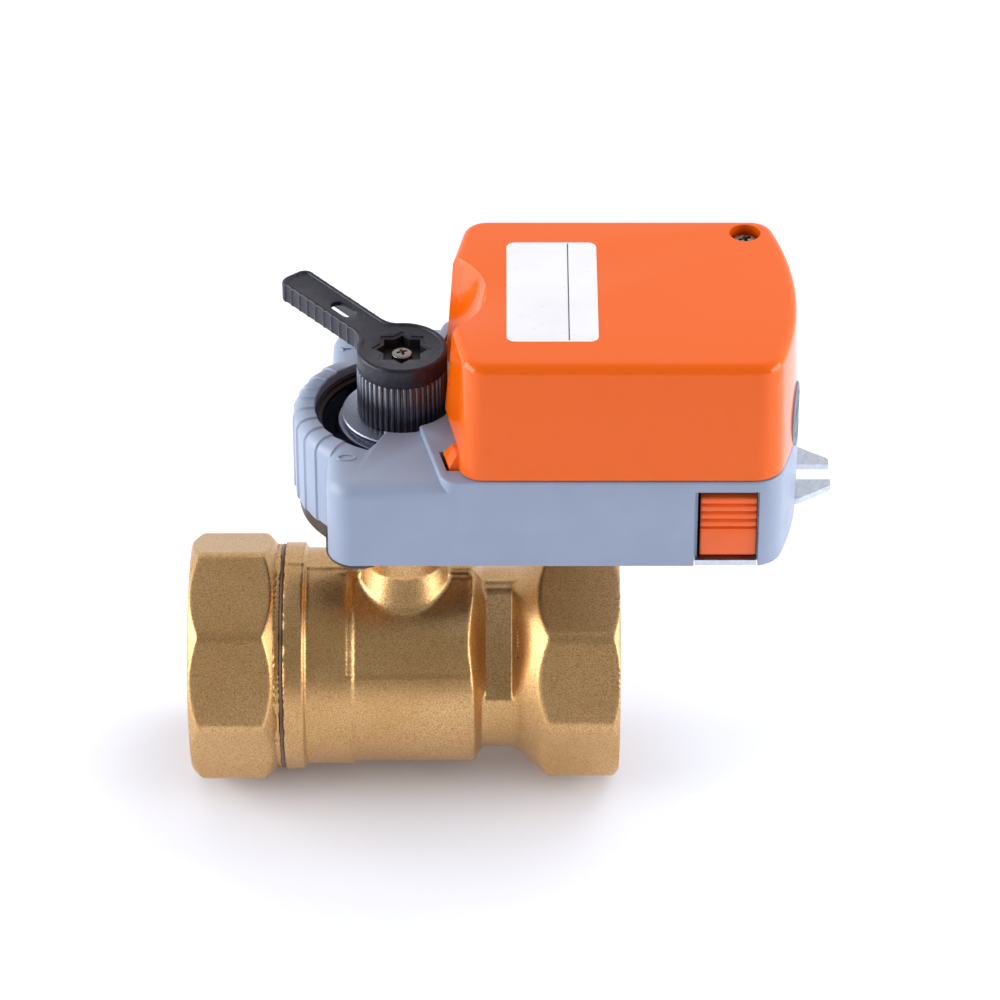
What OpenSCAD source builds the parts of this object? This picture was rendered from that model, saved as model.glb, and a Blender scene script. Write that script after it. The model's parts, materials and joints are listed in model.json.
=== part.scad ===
// Motorized ball valve: a forged brass ball valve with screwed ports, and a geared
// electric actuator that turns its stem through a quarter turn.
// Millimetres. The origin is the centre of the inlet port's face, +X runs along the
// pipe towards the outlet port, and +Z runs up the stem. Each sub-part is drawn about
// the stem axis, with z = 0 on the pipe axis, and placed() moves it to the origin.

/* [Valve] */
// Length of the valve from one port face to the other
face_to_face = 98.2; // [96:0.2:106]
// Width of the end cap's octagon across its flats
cap_flats = 53.5; // [52.5:0.5:56]
// Width of the body's octagon across its flats
body_flats = 52.5; // [51.5:0.5:55]
// Radius of the plain wall that the port thread is cut into, the thread's minor radius
thread_r = 22.42; // [21.8:0.02:22.6]
// Depth of each port's thread
thread_depth = 18; // [15:0.5:19]
// Radius of the ball
ball_r = 20; // [19.6:0.1:20.2]
// Radius of the waterway through the ball
bore_r = 14; // [12:0.5:14.4]

/* [Actuator] */
// Width of the grey housing
housing_w = 66; // [65:0.5:68]
// Height of the underside of the actuator above the pipe axis
housing_z = 49; // [49:0.1:50]
// Distance from the stem axis to the housing's far end
housing_end = 88.4; // [88:0.2:92]
// Height of the orange cover
cover_h = 28.4; // [27.4:0.2:30]
// Radius of the rounded nose around the stem
nose_r = 24.3; // [24.1:0.1:25]
// Width of the fork's slot at the end of the base plate
fork_slot_w = 5.8; // [4:0.2:8]

/* [Handle] */
// Length of the lever from the stem axis
lever_len = 39.5; // [30:0.5:44]
// Width of the lever
lever_w = 8.4; // [7:0.2:9.4]
// Direction of the lever at rest, counted from the outlet side; 180 is open, 90 is shut
lever_angle = 130; // [100:1:170]

/* [Gears] */
// Teeth on the gear around the hub
hub_teeth = 44; // [44:2:44]
// Teeth on each small pinion
pinion_teeth = 12; // [12:1:12]

/* [Hidden] */
$fn = 64;
gap = 0.05;              // clearance of a running fit, and between pieces that only touch
wall = 2.2;              // plastic wall
plate_t = 1.4;           // steel base plate
through = 1;             // how far a cutter runs past the faces that it cuts

stem_x = face_to_face / 2;
port_x = face_to_face / 2;

// Heights above the pipe axis
flange_z = 44.5;
flange_t = 3;
plate_z = housing_z + plate_t;
plateau_z = housing_z + 21;
deck_z = housing_z + 22.4;
cover_top = deck_z + cover_h;
hub_top = plateau_z - 1.5;
sleeve_top = hub_top + 11.9;
sleeve_r = [9.55, 10.1];  // between the flutes, and over them
handle_t = 5;
hub_gear_z = plate_z + 2.1;
gear_2_z = hub_gear_z + 5.2;
gear_1_z = gear_2_z + 3.6;
gear_plate_z = gear_1_z + 3.1;
gear_plate_t = 1.2;
board_z = gear_plate_z + 16.6;
board_t = 1.6;

// Valve body, along the pipe
collar_x = -27.5;
collar_r = 26.2;
shoulder_r = 25;
barrel_r = 24;
neck_r = 20.9;
cavity_r = ball_r + 0.9;
pocket_floor = 16.9;     // distance of the neck pocket's floor from the pipe axis
cap_thread_r = 23;
seal_t = 0.8;
seal_r = 25.6;
seat_in_r = 14.5;
seat_out_r = 18;
seat_x0 = 11;
seat_x1 = 17.2;
stem_r = 6;
stem_collar_r = 8;
square_w = 8.4;
ear = [9.7, 19.2];       // centre of a flange ear; the other is opposite
ear_r = 5;
adapter_r = 23.5;
lug = [9.7, 21];
lug_r = 7.3;
screw_r = 2.4;

// Housing
block_x = -16.3;
corner_r = 6;
end_corner_r = 7;
end_r = 90;
open_r = 19.6;
sleeve_gap_r = 11.5;
hub_r = 9.5;
flange_low_r = 14.5;
flange_high_r = 13.3;
rib_count = 8;
rib_step = 11.25;
rib_rise = 0.4;
deck_slope = 0.2;
deck_x = 0.5;
window = [64.4, 78.5];
window_top = housing_z + 19.9;
cover_screw = [76.6, 24.4];
fork_bend_x = 86.2;
fork_rise = 1.2;         // how far the bend lifts the fork above the plate
base_posts = [[4, -27.2], [-9.5, 25.5], [82, -13], [82, 13]];

// Cover
cover_half = [housing_w / 2 - 0.3, housing_w / 2 - 2.7];
cover_left = [7.3, 8.6];
cover_slope = 0.19;
cover_right = [housing_end - 0.2, housing_end - 1.4];
cover_end_r = [end_corner_r, 5.5];
scallop = [13.4, 18.8];
scallop_draft = (scallop[1] - scallop[0]) / cover_h;
hook_y = -24.6;

// Cable entry in the end wall, across the joint between the housing and the cover
entry_y = -12.6;
entry_z = deck_z + 4.6;
entry_r = 6.2;
entry_turn = -asin(-entry_y / end_r);
entry_x = cover_right[0] - 0.2 - end_r * (1 - cos(entry_turn));
entry_lip_r = 7.2;
entry_lip = [-0.85, 0.15]; // back and face of the grommet's lip
entry_plug = 2.7;        // how far the grommet's plug reaches inwards
cable_r = 3;

// Button
button_x = 71.9;
button_w = 12.4;
button_z = [housing_z + 2.2, housing_z + 17.7];
button_y = -32.1;
button_depth = 9;
spring_r = 3.2;
spring_wire = 0.4;
spring_turns = 6;
spring_len = 9.9;
rib_y = button_y + button_depth + spring_len + 0.1;
spring_z = housing_z + 10;

// Gear train: module, teeth and centre of each mesh
pressure = 25;
m_out = 0.8;
m_mid = 0.6;
m_fast = 0.5;
wheel_2_teeth = 32;
wheel_1_teeth = 40;
pot_teeth = 16;
angle_2 = -20;
angle_1 = 25;
angle_m = 20;
angle_p = 52;
gear_2_at = polar(m_out * (hub_teeth + pinion_teeth) / 2, angle_2);
gear_1_at = gear_2_at + polar(m_mid * (wheel_2_teeth + pinion_teeth) / 2, angle_1);
motor_at = gear_1_at + polar(m_fast * (wheel_1_teeth + pinion_teeth) / 2, angle_m);
pot_at = polar(m_out * (hub_teeth + pot_teeth) / 2, angle_p);
axle_r = 1.5;
motor_r = 14.5;
motor_h = 13.6;
pillars = [[28, -23], [59, -23], [59, 23], [28, 23]];
terminals = 5;
terminal_pitch = 5.2;

// ---------- helpers ----------
function polar(r, a) = [r * cos(a), r * sin(a)];
function arc(c, r, a0, a1, n = 8) = [for (i = [0:n]) c + polar(r, a0 + (a1 - a0) * i / n)];
function mix(pair, t) = pair[0] + (pair[1] - pair[0]) * t;

module placed() translate([stem_x, 0, 0]) children();
module along_x(x) translate([x, 0, 0]) rotate([0, 90, 0]) children();
module at(p, z = 0) translate([p[0], p[1], z]) children();
module both() { children(); rotate(180) children(); }

// A tube standing on z = 0
module tube(r_out, r_in, h) difference() {
    cylinder(r = r_out, h = h);
    translate([0, 0, -through]) cylinder(r = r_in, h = h + 2 * through);
}

// A tube along X, from x0 to x1
module tube_x(r_out, r_in, x0, x1) along_x(x0) tube(r_out, r_in, x1 - x0);

// An octagonal bar along X with an edge up, its corners turned off at both ends
module octagon(flats, x0, x1) intersection() {
    along_x(x0) cylinder(r = flats / 2 / cos(22.5), h = x1 - x0, $fn = 8);
    turned = flats / 2 / cos(22.5) + 0.1;
    union() {
        along_x(x0) cylinder(r1 = flats / 2 - 0.3, r2 = turned, h = 2.2);
        along_x(x0 + 2.2) cylinder(r = turned, h = x1 - x0 - 4.4);
        along_x(x1 - 2.2) cylinder(r1 = turned, r2 = flats / 2 - 0.3, h = 2.2);
    }
}

// A pan-head screw with a cross recess: its head's underside is at z = 0
module screw(r_head, h_head, r_shank, l_shank) {
    difference() {
        cylinder(r = r_head, h = h_head);
        for (a = [0, 90])
            translate([0, 0, h_head]) rotate(a)
                cube([r_head * 1.2, r_head * 0.28, h_head * 1.2], center = true);
    }
    translate([0, 0, -l_shank]) cylinder(r = r_shank, h = l_shank + 0.01);
}

// ---------- gears ----------
function involute(a) = tan(a) * 180 / PI - a;
// Half the angle that a tooth spans at radius r
function tooth_half(m, z, r) =
    let (rp = m * z / 2, rb = rp * cos(pressure), play = 0.06)
    90 / z - play / rp * 180 / PI + involute(pressure)
        - involute(acos(min(1, rb / max(r, rb))));
function gear_outline(m, z, phase) =
    let (rp = m * z / 2, tip = rp + 0.8 * m, root = rp - 1.05 * m,
         levels = [root, max(root, rp * cos(pressure)) + 0.02, rp - 0.2 * m, rp + 0.3 * m, tip])
    [for (i = [0:z - 1]) each concat(
        [for (j = [0:4]) polar(levels[j], phase + 360 * i / z - tooth_half(m, z, levels[j]))],
        [for (j = [4:-1:0]) polar(levels[j], phase + 360 * i / z + tooth_half(m, z, levels[j]))])];
// The phase of a gear that meshes with another at an angle, when the other's phase is p
function mesh_phase(angle, z_other, z, p = 0) =
    angle + 180 + 180 / z - (p - angle) * z_other / z;

module gear(m, z, h, phase, r_bore) linear_extrude(h) difference() {
    polygon(gear_outline(m, z, phase));
    circle(r = r_bore);
}

// ---------- valve ----------
module valve_body() color("goldenrod") difference() {
    union() {
        tube_x(collar_r, 10, collar_x, collar_x + 4.5);
        tube_x(shoulder_r, 10, collar_x + 4.4, -12);
        tube_x(barrel_r, 10, -12.1, 15.5);
        along_x(15.4) cylinder(r1 = barrel_r, r2 = neck_r, h = 2.6);
        along_x(17.9) cylinder(r = neck_r, h = 8.2);
        intersection() {
            along_x(26) cylinder(r1 = neck_r, r2 = 29.3, h = 6.4);
            along_x(26) cylinder(r = body_flats / 2 / cos(22.5), h = 8, $fn = 8);
        }
        octagon(body_flats, 31.2, port_x);
        stem_tower();
    }
    neck_pocket();
    waterways();
}

module stem_tower() {
    translate([0, 0, barrel_r - 6]) cylinder(r = 10.8, h = 6.5);
    translate([0, 0, barrel_r + 0.4]) cylinder(r1 = 10.8, r2 = 9, h = 3.2);
    translate([0, 0, barrel_r + 3.5]) cylinder(r = 9, h = flange_z - flange_t - barrel_r - 3.4);
    translate([0, 0, flange_z - flange_t]) linear_extrude(flange_t) difference() {
        union() {
            circle(r = 12);
            both() translate([-ear[0], -ear[1]]) circle(r = ear_r);
            rotate(atan2(ear[1], ear[0])) square([2 * norm(ear), 2 * ear_r - 0.8], center = true);
        }
        both() translate([-ear[0], -ear[1]]) circle(r = 1.9);
    }
}

// A flat-bottomed pocket on the neck's upper front leaves a rib along its top
module neck_pocket() rotate([45, 0, 0]) translate([19, -10.5, pocket_floor]) cube([6, 21, 8]);

module waterways() {
    along_x(collar_x - through) cylinder(r = cap_thread_r, h = 11.5 + through);
    along_x(collar_x) cylinder(r = cavity_r, h = -collar_x + seat_x0 + 1);
    along_x(seat_x0) cylinder(r = seat_out_r + gap, h = seat_x1 - seat_x0);
    along_x(seat_x0) cylinder(r = seat_in_r, h = 16);
    along_x(port_x - thread_depth - 5) cylinder(r = 19, h = 7);
    along_x(port_x - thread_depth) cylinder(r = thread_r, h = thread_depth + through);
    cylinder(r = stem_collar_r + 0.3, h = 23.5);
    cylinder(r = stem_r + gap, h = flange_z + through);
}

module end_cap() color("goldenrod") difference() {
    union() {
        octagon(cap_flats, -port_x, -29.6);
        along_x(-30.6) cylinder(r1 = 28.4, r2 = 25.9, h = 2.3);
        along_x(-28.5) cylinder(r = cap_thread_r - gap, h = 12.4);
        along_x(-16.2) cylinder(r = cavity_r - gap, h = 3.2);
    }
    along_x(-port_x - through) cylinder(r = thread_r, h = thread_depth + through);
    along_x(-port_x + thread_depth - 2) cylinder(r = 19, h = 6);
    along_x(-port_x + thread_depth) cylinder(r = seat_in_r, h = 20);
    along_x(-seat_x1) cylinder(r = seat_out_r + gap, h = 6);
}

module cap_seal() color("saddlebrown") tube_x(seal_r, cap_thread_r, collar_x - seal_t, collar_x);

// A soft ring that the ball turns against
module seat_ring() color("white") difference() {
    tube_x(seat_out_r, seat_in_r, seat_x0, seat_x1);
    sphere(r = ball_r + gap);
}
module seat_outlet() seat_ring();
module seat_inlet() rotate(180) seat_ring();

module ball() color("silver") rotate(lever_angle) difference() {
    sphere(r = ball_r);
    along_x(-ball_r - through) cylinder(r = bore_r, h = 2 * (ball_r + through));
    translate([-8.5, -3.1, ball_r - 3.4]) cube([17, 6.2, 5]);
}

module stem() color("silver") difference() {
    union() {
        rotate(lever_angle) intersection() {
            translate([-8, -3, ball_r - 3.3]) cube([16, 6, 4.2]);
            cylinder(r = stem_collar_r - 0.3, h = ball_r + 2);
        }
        translate([0, 0, ball_r + 0.4]) cylinder(r = stem_collar_r, h = 2.2);
        translate([0, 0, ball_r + 2.5]) cylinder(r = stem_r, h = flange_z + 1 - ball_r - 2.5);
        rotate(lever_angle) translate([-square_w / 2, -square_w / 2, flange_z + 0.9])
            cube([square_w, square_w, sleeve_top - flange_z - 1]);
    }
    for (z = [28, 33]) translate([0, 0, z]) tube(stem_r + through, 4.1, 2.2);
    translate([0, 0, sleeve_top - 10]) cylinder(r = 1.5, h = 12);
}

module stem_rings() color("black") for (z = [29.1, 34.1])
    translate([0, 0, z]) rotate_extrude() translate([5.07, 0]) circle(r = 0.94, $fn = 24);

module thrust_washer() color("white") translate([0, 0, ball_r + 2.65])
    tube(stem_collar_r + 0.1, stem_r + gap, 0.8);

// ---------- actuator body ----------
module adapter() color("dimgray") translate([0, 0, flange_z]) difference() {
    union() {
        cylinder(r = adapter_r, h = housing_z - flange_z);
        both() translate([-lug[0], -lug[1], 0]) cylinder(r = lug_r, h = housing_z - flange_z);
    }
    translate([0, 0, -through]) cylinder(r = 9.9, h = 8);
    both() translate([-ear[0], -ear[1], -through]) {
        cylinder(r = screw_r + 0.2, h = 8);
        translate([0, 0, 2.9]) cylinder(r = 4.3, h = 8);
    }
}

module adapter_screws() color("silver") both() translate([-ear[0], -ear[1], flange_z + 1.95])
    screw(4, 2.3, 1.85, 5);

// The housing's outline, moved in by inset; with ribs, the nose carries its ratchet-like facets
function housing_outline(inset, ribs = false) =
    let (h = housing_w / 2,
         c_left = block_x + corner_r,
         ex = housing_end - end_r,
         cy = h - end_corner_r,
         cx = ex + sqrt(pow(end_r - end_corner_r, 2) - cy * cy),
         ca = atan2(cy, cx - ex),
         n_half = acos((-block_x - inset) / (nose_r - inset)))
    concat(
        arc([c_left, corner_r - h], corner_r - inset, 180, 270),
        arc([cx, -cy], end_corner_r - inset, 270, 360 - ca),
        arc([ex, 0], end_r - inset, -ca, ca, 12),
        arc([cx, cy], end_corner_r - inset, ca, 90),
        arc([c_left, h - corner_r], corner_r - inset, 90, 180),
        ribs ? nose_ribs(n_half) : arc([0, 0], nose_r - inset, 180 - n_half, 180 + n_half, 24));
// Each facet rises a little over its stretch and then steps back
function nose_ribs(n_half) =
    let (first = 180 - rib_count * rib_step / 2)
    concat(
        [polar(nose_r, 180 - n_half), polar(nose_r, first)],
        [for (i = [0:rib_count - 1]) each [
            polar(nose_r, first + rib_step * (i + 0.02)),
            polar(nose_r + rib_rise / 2, first + rib_step * (i + 0.5)),
            polar(nose_r + rib_rise, first + rib_step * (i + 0.98))]],
        [polar(nose_r, first + rib_count * rib_step), polar(nose_r, 180 + n_half)]);

// The crescent that the hub's rim shows through, and the hole around the sleeve
module nose_opening() {
    circle(r = sleeve_gap_r);
    intersection() {
        circle(r = open_r);
        polygon(concat([[-2.5, -10]], [polar(open_r + 2, 250)], [[-30, -30], [-30, 30]],
            [polar(open_r + 2, 110)], [[-2.5, 10]]));
    }
}

module base_plate_outline() {
    difference() {
        polygon(housing_outline(wall + 0.1));
        circle(r = 11.55);
        for (p = base_posts) translate(p) circle(r = 1.6);
        for (p = [gear_2_at, gear_1_at]) translate(p) circle(r = axle_r);
    }
    translate([window[0] + 0.3, -housing_w / 2 + 0.5]) square([window[1] - window[0] - 0.6, 3]);
    polygon([[78, -10.5], [housing_end + 0.2, -10.5], [95.3, -5.8], [96, -5.1], [96, 5.1],
        [95.3, 5.8], [housing_end + 0.2, 10.5], [78, 10.5]]);
}

// The plate is flat up to a small bend that lifts the fork
module base_plate() color("gainsboro") translate([0, 0, housing_z]) intersection() {
    linear_extrude(plate_t + fork_rise) difference() {
        base_plate_outline();
        translate([84, 0]) circle(r = fork_slot_w / 2);
        translate([84, -fork_slot_w / 2]) square([20, fork_slot_w]);
    }
    translate([0, 50, 0]) rotate([90, 0, 0]) linear_extrude(100)
        polygon([[-30, -1], [-30, plate_t], [fork_bend_x, plate_t], [fork_bend_x + 1.6, plate_t + fork_rise],
            [100, plate_t + fork_rise], [100, fork_rise], [fork_bend_x + 2, fork_rise],
            [fork_bend_x + 0.4, 0], [fork_bend_x, 0], [fork_bend_x, -1]]);
}

module base_screws() color("silver") for (p = base_posts)
    at(p, housing_z) rotate([180, 0, 0]) screw(2.8, 1.2, 1.3, 7);

module lower_bush() color("tan") {
    translate([0, 0, housing_z]) tube(11.5, hub_r + gap, plate_t + 1);
    translate([0, 0, plate_z]) tube(12.8, 11.3, 1);
}

module housing() color("lightsteelblue") difference() {
    union() {
        translate([0, 0, housing_z]) linear_extrude(plateau_z - housing_z)
            polygon(housing_outline(0, true));
        translate([0, 0, plateau_z - 0.01]) linear_extrude(deck_z - plateau_z + 0.01)
            intersection() {
                polygon(housing_outline(0));
                polygon([[deck_x, 0], [deck_x + deck_slope * 40, 40], [120, 40],
                    [120, -40], [deck_x + deck_slope * 40, -40]]);
            }
    }
    difference() {
        translate([0, 0, housing_z - through]) linear_extrude(plateau_z - wall + 0.2 - housing_z + through)
            polygon(housing_outline(wall));
        housing_inside();
    }
    translate([0, 0, hub_top - 3]) cylinder(r = 15.2, h = 3.4);
    translate([0, 0, plateau_z - 6]) linear_extrude(12) nose_opening();
    translate([0, 0, plateau_z - 6]) linear_extrude(12) deck_opening();
    translate([window[0], -housing_w / 2 - through, housing_z - through])
        cube([window[1] - window[0], wall + 1.2 + through, window_top - housing_z + through]);
    translate([85, -10.7, housing_z - through]) cube([10, 21.4, plate_t + fork_rise + 0.2 + through]);
    entry_hole();
    hook_slot();
    at(cover_screw, plate_z) cylinder(r = 1.7, h = 40);
}

// What stands up inside the housing: screw posts and the wall that the button's spring pushes on
module housing_inside() {
    for (p = base_posts) at(p, plate_z) tube(3.5, 1.32, plateau_z - plate_z);
    at(cover_screw, plate_z + 1) cylinder(r = 4, h = plateau_z - plate_z);
    translate([button_x - 7.5, rib_y, plate_z + 0.1]) cube([15, 1.8, plateau_z - plate_z]);
}

module deck_opening() difference() {
    translate([19, -27]) square([64, 54]);
    translate(cover_screw) circle(r = 5);
    translate([62, -40]) square([20, 30]);
    for (p = base_posts) translate(p) circle(r = 4);
}

module hook_slot() translate([9.2, hook_y - 3.8, plateau_z - 4]) cube([5, 7.6, 12]);

module dial_ring() color("dimgray") translate([0, 0, hub_top - 3]) {
    rotate_extrude(angle = 150, start = 105) translate([18.2, 0]) square([2.7, 2.45]);
    rotate_extrude(angle = 134, start = 113) translate([18.2, 2.4]) square([1.2, 1.1]);
}

// ---------- output shaft ----------
module hub() color("darkgray") difference() {
    union() {
        translate([0, 0, housing_z + 0.1]) cylinder(r = hub_r, h = hub_top - housing_z - 0.2);
        translate([0, 0, hub_top - 3.6]) cylinder(r = flange_low_r, h = 1.5);
        translate([0, 0, hub_top - 1.2]) cylinder(r = flange_high_r, h = 1.2);
    }
    cylinder(r = stem_r + 0.1, h = hub_top + through);
}

module hub_gear() color("dimgray") translate([0, 0, hub_gear_z])
    gear(m_out, hub_teeth, 4.5, 0, hub_r);

flutes = 44;
module fluted_sleeve() color("slategray") translate([0, 0, hub_top]) linear_extrude(sleeve_top - hub_top)
    difference() {
        polygon([for (i = [0:flutes - 1]) each [
            polar(sleeve_r[0], 360 * (i + 0.1) / flutes), polar(sleeve_r[1], 360 * (i + 0.3) / flutes),
            polar(sleeve_r[1], 360 * (i + 0.6) / flutes), polar(sleeve_r[0], 360 * (i + 0.8) / flutes)]]);
        rotate(lever_angle) square(square_w + 0.1, center = true);
    }

module handle() color("#333438") translate([0, 0, sleeve_top]) rotate(lever_angle) difference() {
    linear_extrude(handle_t) {
        circle(r = sleeve_r[1]);
        polygon(concat([[4, -lever_w / 2 - 1.6], [11.5, -lever_w / 2]],
            arc([lever_len - 2, 2 - lever_w / 2], 2, 270, 360),
            arc([lever_len - 2, lever_w / 2 - 2], 2, 0, 90),
            [[11.5, lever_w / 2], [4, lever_w / 2 + 1.6]]));
    }
    translate([0, 0, 1.8]) linear_extrude(10) for (a = [0, 45])
        rotate(a) square(square_w + 0.15, center = true);
    translate([0, 0, -through]) cylinder(r = 1.7, h = 6);
    translate([0, 0, -through]) linear_extrude(10) {
        for (x = [18.9, 22.6]) translate([x, 0]) circle(r = 1.9);
        translate([18.9, -1.9]) square([3.7, 3.8]);
    }
    translate([14, -3.3, -through]) cube([22.5, 6.6, handle_t - 1.6 + through]);
}

module handle_screw() color("silver") translate([0, 0, sleeve_top + 1.85]) rotate(lever_angle)
    screw(2.3, 1.8, 1.48, 8);

// ---------- cover ----------
function cover_outline(t, inset) =
    let (h = mix(cover_half, t), r_l = 5.5, r_e = mix(cover_end_r, t),
         s = cover_slope, root = sqrt(1 + s * s),
         cy = h - r_l, cx = mix(cover_left, t) + s * cy + r_l * root,
         a = atan(s),
         ex = mix(cover_right, t) - end_r, ey = h - r_e,
         ecx = ex + sqrt(pow(end_r - r_e, 2) - ey * ey), ca = atan2(ey, ecx - ex))
    concat(
        [[mix(cover_left, t) + inset * root, 0]],
        arc([cx, -cy], r_l - inset, 180 + a, 270),
        arc([ecx, -ey], r_e - inset, 270, 360 - ca),
        arc([ex, 0], end_r - inset, -ca, ca, 12),
        arc([ecx, ey], r_e - inset, ca, 90),
        arc([cx, cy], r_l - inset, 90, 180 - a));

module drafted(inset, top) hull() {
    linear_extrude(0.01) polygon(cover_outline(0, inset));
    translate([0, 0, top - 0.01]) linear_extrude(0.01) polygon(cover_outline(top / cover_h, inset));
}

module scallop_cone(more) translate([0, 0, -through])
    cylinder(r1 = scallop[0] + more - through * scallop_draft,
        r2 = scallop[1] + more + through * scallop_draft, h = cover_h + 2 * through);

module cover() color("orangered") translate([0, 0, deck_z]) difference() {
    union() {
        difference() {
            drafted(0, cover_h);
            difference() {
                translate([0, 0, -through]) drafted(wall, cover_h - wall + through);
                scallop_cone(wall);
                at(cover_screw) cylinder(r = 4.2, h = cover_h);
            }
        }
        hook();
    }
    scallop_cone(0);
    at(cover_screw, -through) cylinder(r = 2.1, h = cover_h + 2 * through);
    at(cover_screw, cover_h - 3.6) cylinder(r = 3.3, h = 8);
    translate([0, 0, -deck_z]) entry_hole();
}

// The snap hook on the cover's left side, which drops into the housing's slot
module hook() hull() {
    translate([9.6, hook_y - 3.2, -2.4]) cube([3.6, 6.4, 0.6]);
    translate([11.6, hook_y - 2.4, 2.2]) cube([2.6, 4.8, 0.6]);
}

module cover_screw() color("silver") at(cover_screw, cover_top - 3.55) screw(2.7, 2.1, 1.65, 34);

module label() color("white") translate([33.2, 0, cover_top]) linear_extrude(0.12)
    polygon(concat(
        arc([8, -18.2], 2, 270, 360), arc([8, 18.2], 2, 0, 90),
        arc([-8, 18.2], 2, 90, 180), arc([-8, -18.2], 2, 180, 270)));

module at_entry() translate([entry_x, entry_y, entry_z]) rotate([0, 90, entry_turn]) children();

// The stepped hole for the grommet, cut in both the housing and the cover
module entry_hole() at_entry() {
    translate([0, 0, -entry_plug - through]) cylinder(r = entry_r, h = 8);
    translate([0, 0, entry_lip[0] - gap]) cylinder(r = entry_lip_r + gap, h = 6);
}

module cable_grommet() color("lightslategray") at_entry() difference() {
    union() {
        translate([0, 0, -entry_plug]) cylinder(r = entry_r - gap, h = entry_plug + entry_lip[0] + 0.1);
        translate([0, 0, entry_lip[0]]) cylinder(r = entry_lip_r, h = entry_lip[1] - entry_lip[0]);
    }
    translate([0, 0, -entry_plug - through]) cylinder(r = cable_r, h = 8);
}

// ---------- release button ----------
module release_button() color("orangered") difference() {
    union() {
        translate([button_x - button_w / 2, button_y + 0.6, button_z[0]])
            cube([button_w, button_depth - 0.6, button_z[1] - button_z[0]]);
        translate([button_x - button_w / 2, button_y, button_z[0]]) cube([button_w, 1, 7.4]);
        for (i = [0:3]) translate([button_x - button_w / 2, button_y, button_z[0] + 8.2 + 1.95 * i])
            cube([button_w, 1, 1.2]);
    }
    translate([button_x, button_y + button_depth - 3, spring_z]) rotate([-90, 0, 0])
        cylinder(r = spring_r + 0.9, h = 6);
}

// A coil spring swept as one tube between the button's pocket and the housing's inner wall
module button_spring() color("silver") {
    steps = 16;
    sides = 8;
    rings = spring_turns * steps;
    length = spring_len + 2.9;
    rise = (length - 2 * spring_wire) / rings;
    points = [for (i = [0:rings]) for (j = [0:sides - 1])
        let (a = 360 * i / steps, o = polar(spring_wire, 360 * j / sides))
        concat(polar(spring_r + o[0], a), [spring_wire + rise * i + o[1]])];
    side_faces = [for (i = [0:rings - 1]) for (j = [0:sides - 1])
        let (a = i * sides + j, b = i * sides + (j + 1) % sides)
        each [[a, b, b + sides], [a, b + sides, a + sides]]];
    translate([button_x, button_y + button_depth - 2.95, spring_z]) rotate([-90, 0, 0])
        polyhedron(points, concat(side_faces, [[for (j = [0:sides - 1]) sides - 1 - j]],
            [[for (j = [0:sides - 1]) rings * sides + j]]));
}

// ---------- gear train ----------
module gear_2() color("ivory") at(gear_2_at) {
    translate([0, 0, gear_2_z]) gear(m_mid, wheel_2_teeth, 2.8, 0, axle_r + gap);
    translate([0, 0, hub_gear_z]) gear(m_out, pinion_teeth, gear_2_z - hub_gear_z + 0.01,
        mesh_phase(angle_2, hub_teeth, pinion_teeth), axle_r + gap);
}
module gear_1() color("ivory") at(gear_1_at) {
    translate([0, 0, gear_1_z]) gear(m_fast, wheel_1_teeth, 2.4, 0, axle_r + gap);
    translate([0, 0, gear_2_z]) gear(m_mid, pinion_teeth, gear_1_z - gear_2_z + 0.01,
        mesh_phase(angle_1, wheel_2_teeth, pinion_teeth), axle_r + gap);
}
module motor_pinion() color("gold") at(motor_at, gear_1_z) {
    gear(m_fast, pinion_teeth, 2.6, mesh_phase(angle_m, wheel_1_teeth, pinion_teeth), 0.2);
    cylinder(r = 1, h = 9);
}
module axle(p) color("silver") at(p, housing_z) cylinder(r = axle_r, h = gear_plate_z + gear_plate_t - housing_z);
module gear_2_axle() axle(gear_2_at);
module gear_1_axle() axle(gear_1_at);

module gear_plate() color("gainsboro") translate([0, 0, gear_plate_z]) linear_extrude(gear_plate_t)
    difference() {
        translate([9, -27]) square([55, 54]);
        circle(r = 16.5);
        translate(motor_at) circle(r = 4);
        for (p = [gear_2_at, gear_1_at]) translate(p) circle(r = axle_r);
        translate([-2, 22]) square([14, 8]);
        translate([-2, -30]) square([20, 10]);
    }
module gear_pillars() color("silver") for (p = pillars)
    at(p, plate_z) cylinder(r = 2.5, h = gear_plate_z - plate_z);

module motor() color("silver") at(motor_at, gear_plate_z + gear_plate_t) difference() {
    union() {
        cylinder(r = motor_r, h = motor_h);
        translate([0, 0, motor_h - 0.01]) cylinder(r = 4, h = 1.2);
    }
    translate([0, 0, -through]) cylinder(r = 1 + gap, h = 7);
}

module feedback_sensor() color("steelblue") at(pot_at, 0) difference() {
    translate([0, 0, gear_2_z]) cylinder(r = 7.5, h = gear_plate_z - gear_2_z);
    translate([0, 0, gear_2_z - through]) cylinder(r = 1.2 + gap, h = 4);
}
module sensor_gear() color("ivory") at(pot_at, hub_gear_z) {
    gear(m_out, pot_teeth, 4, mesh_phase(angle_p, hub_teeth, pot_teeth), 0.3);
    cylinder(r = 1.2, h = 7);
}

// ---------- electronics ----------
module circuit_board() color("seagreen") translate([0, 0, board_z]) linear_extrude(board_t)
    difference() {
        translate([24, -26]) square([56.4, 52]);
        translate(cover_screw) circle(r = 5.2);
        translate([cover_screw[0], cover_screw[1]]) square([12, 12]);
        translate([cover_screw[0] - 5.2, cover_screw[1]]) square([12, 12]);
        for (p = pillars) translate(p) circle(r = 1.6);
    }
module board_pillars() color("silver") for (p = pillars)
    at(p, gear_plate_z + gear_plate_t) tube(2.5, 1.2, board_z - gear_plate_z - gear_plate_t);
module board_screws() color("silver") for (p = pillars)
    at(p, board_z + board_t) screw(2.6, 1.6, 1.15, 6);

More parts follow.
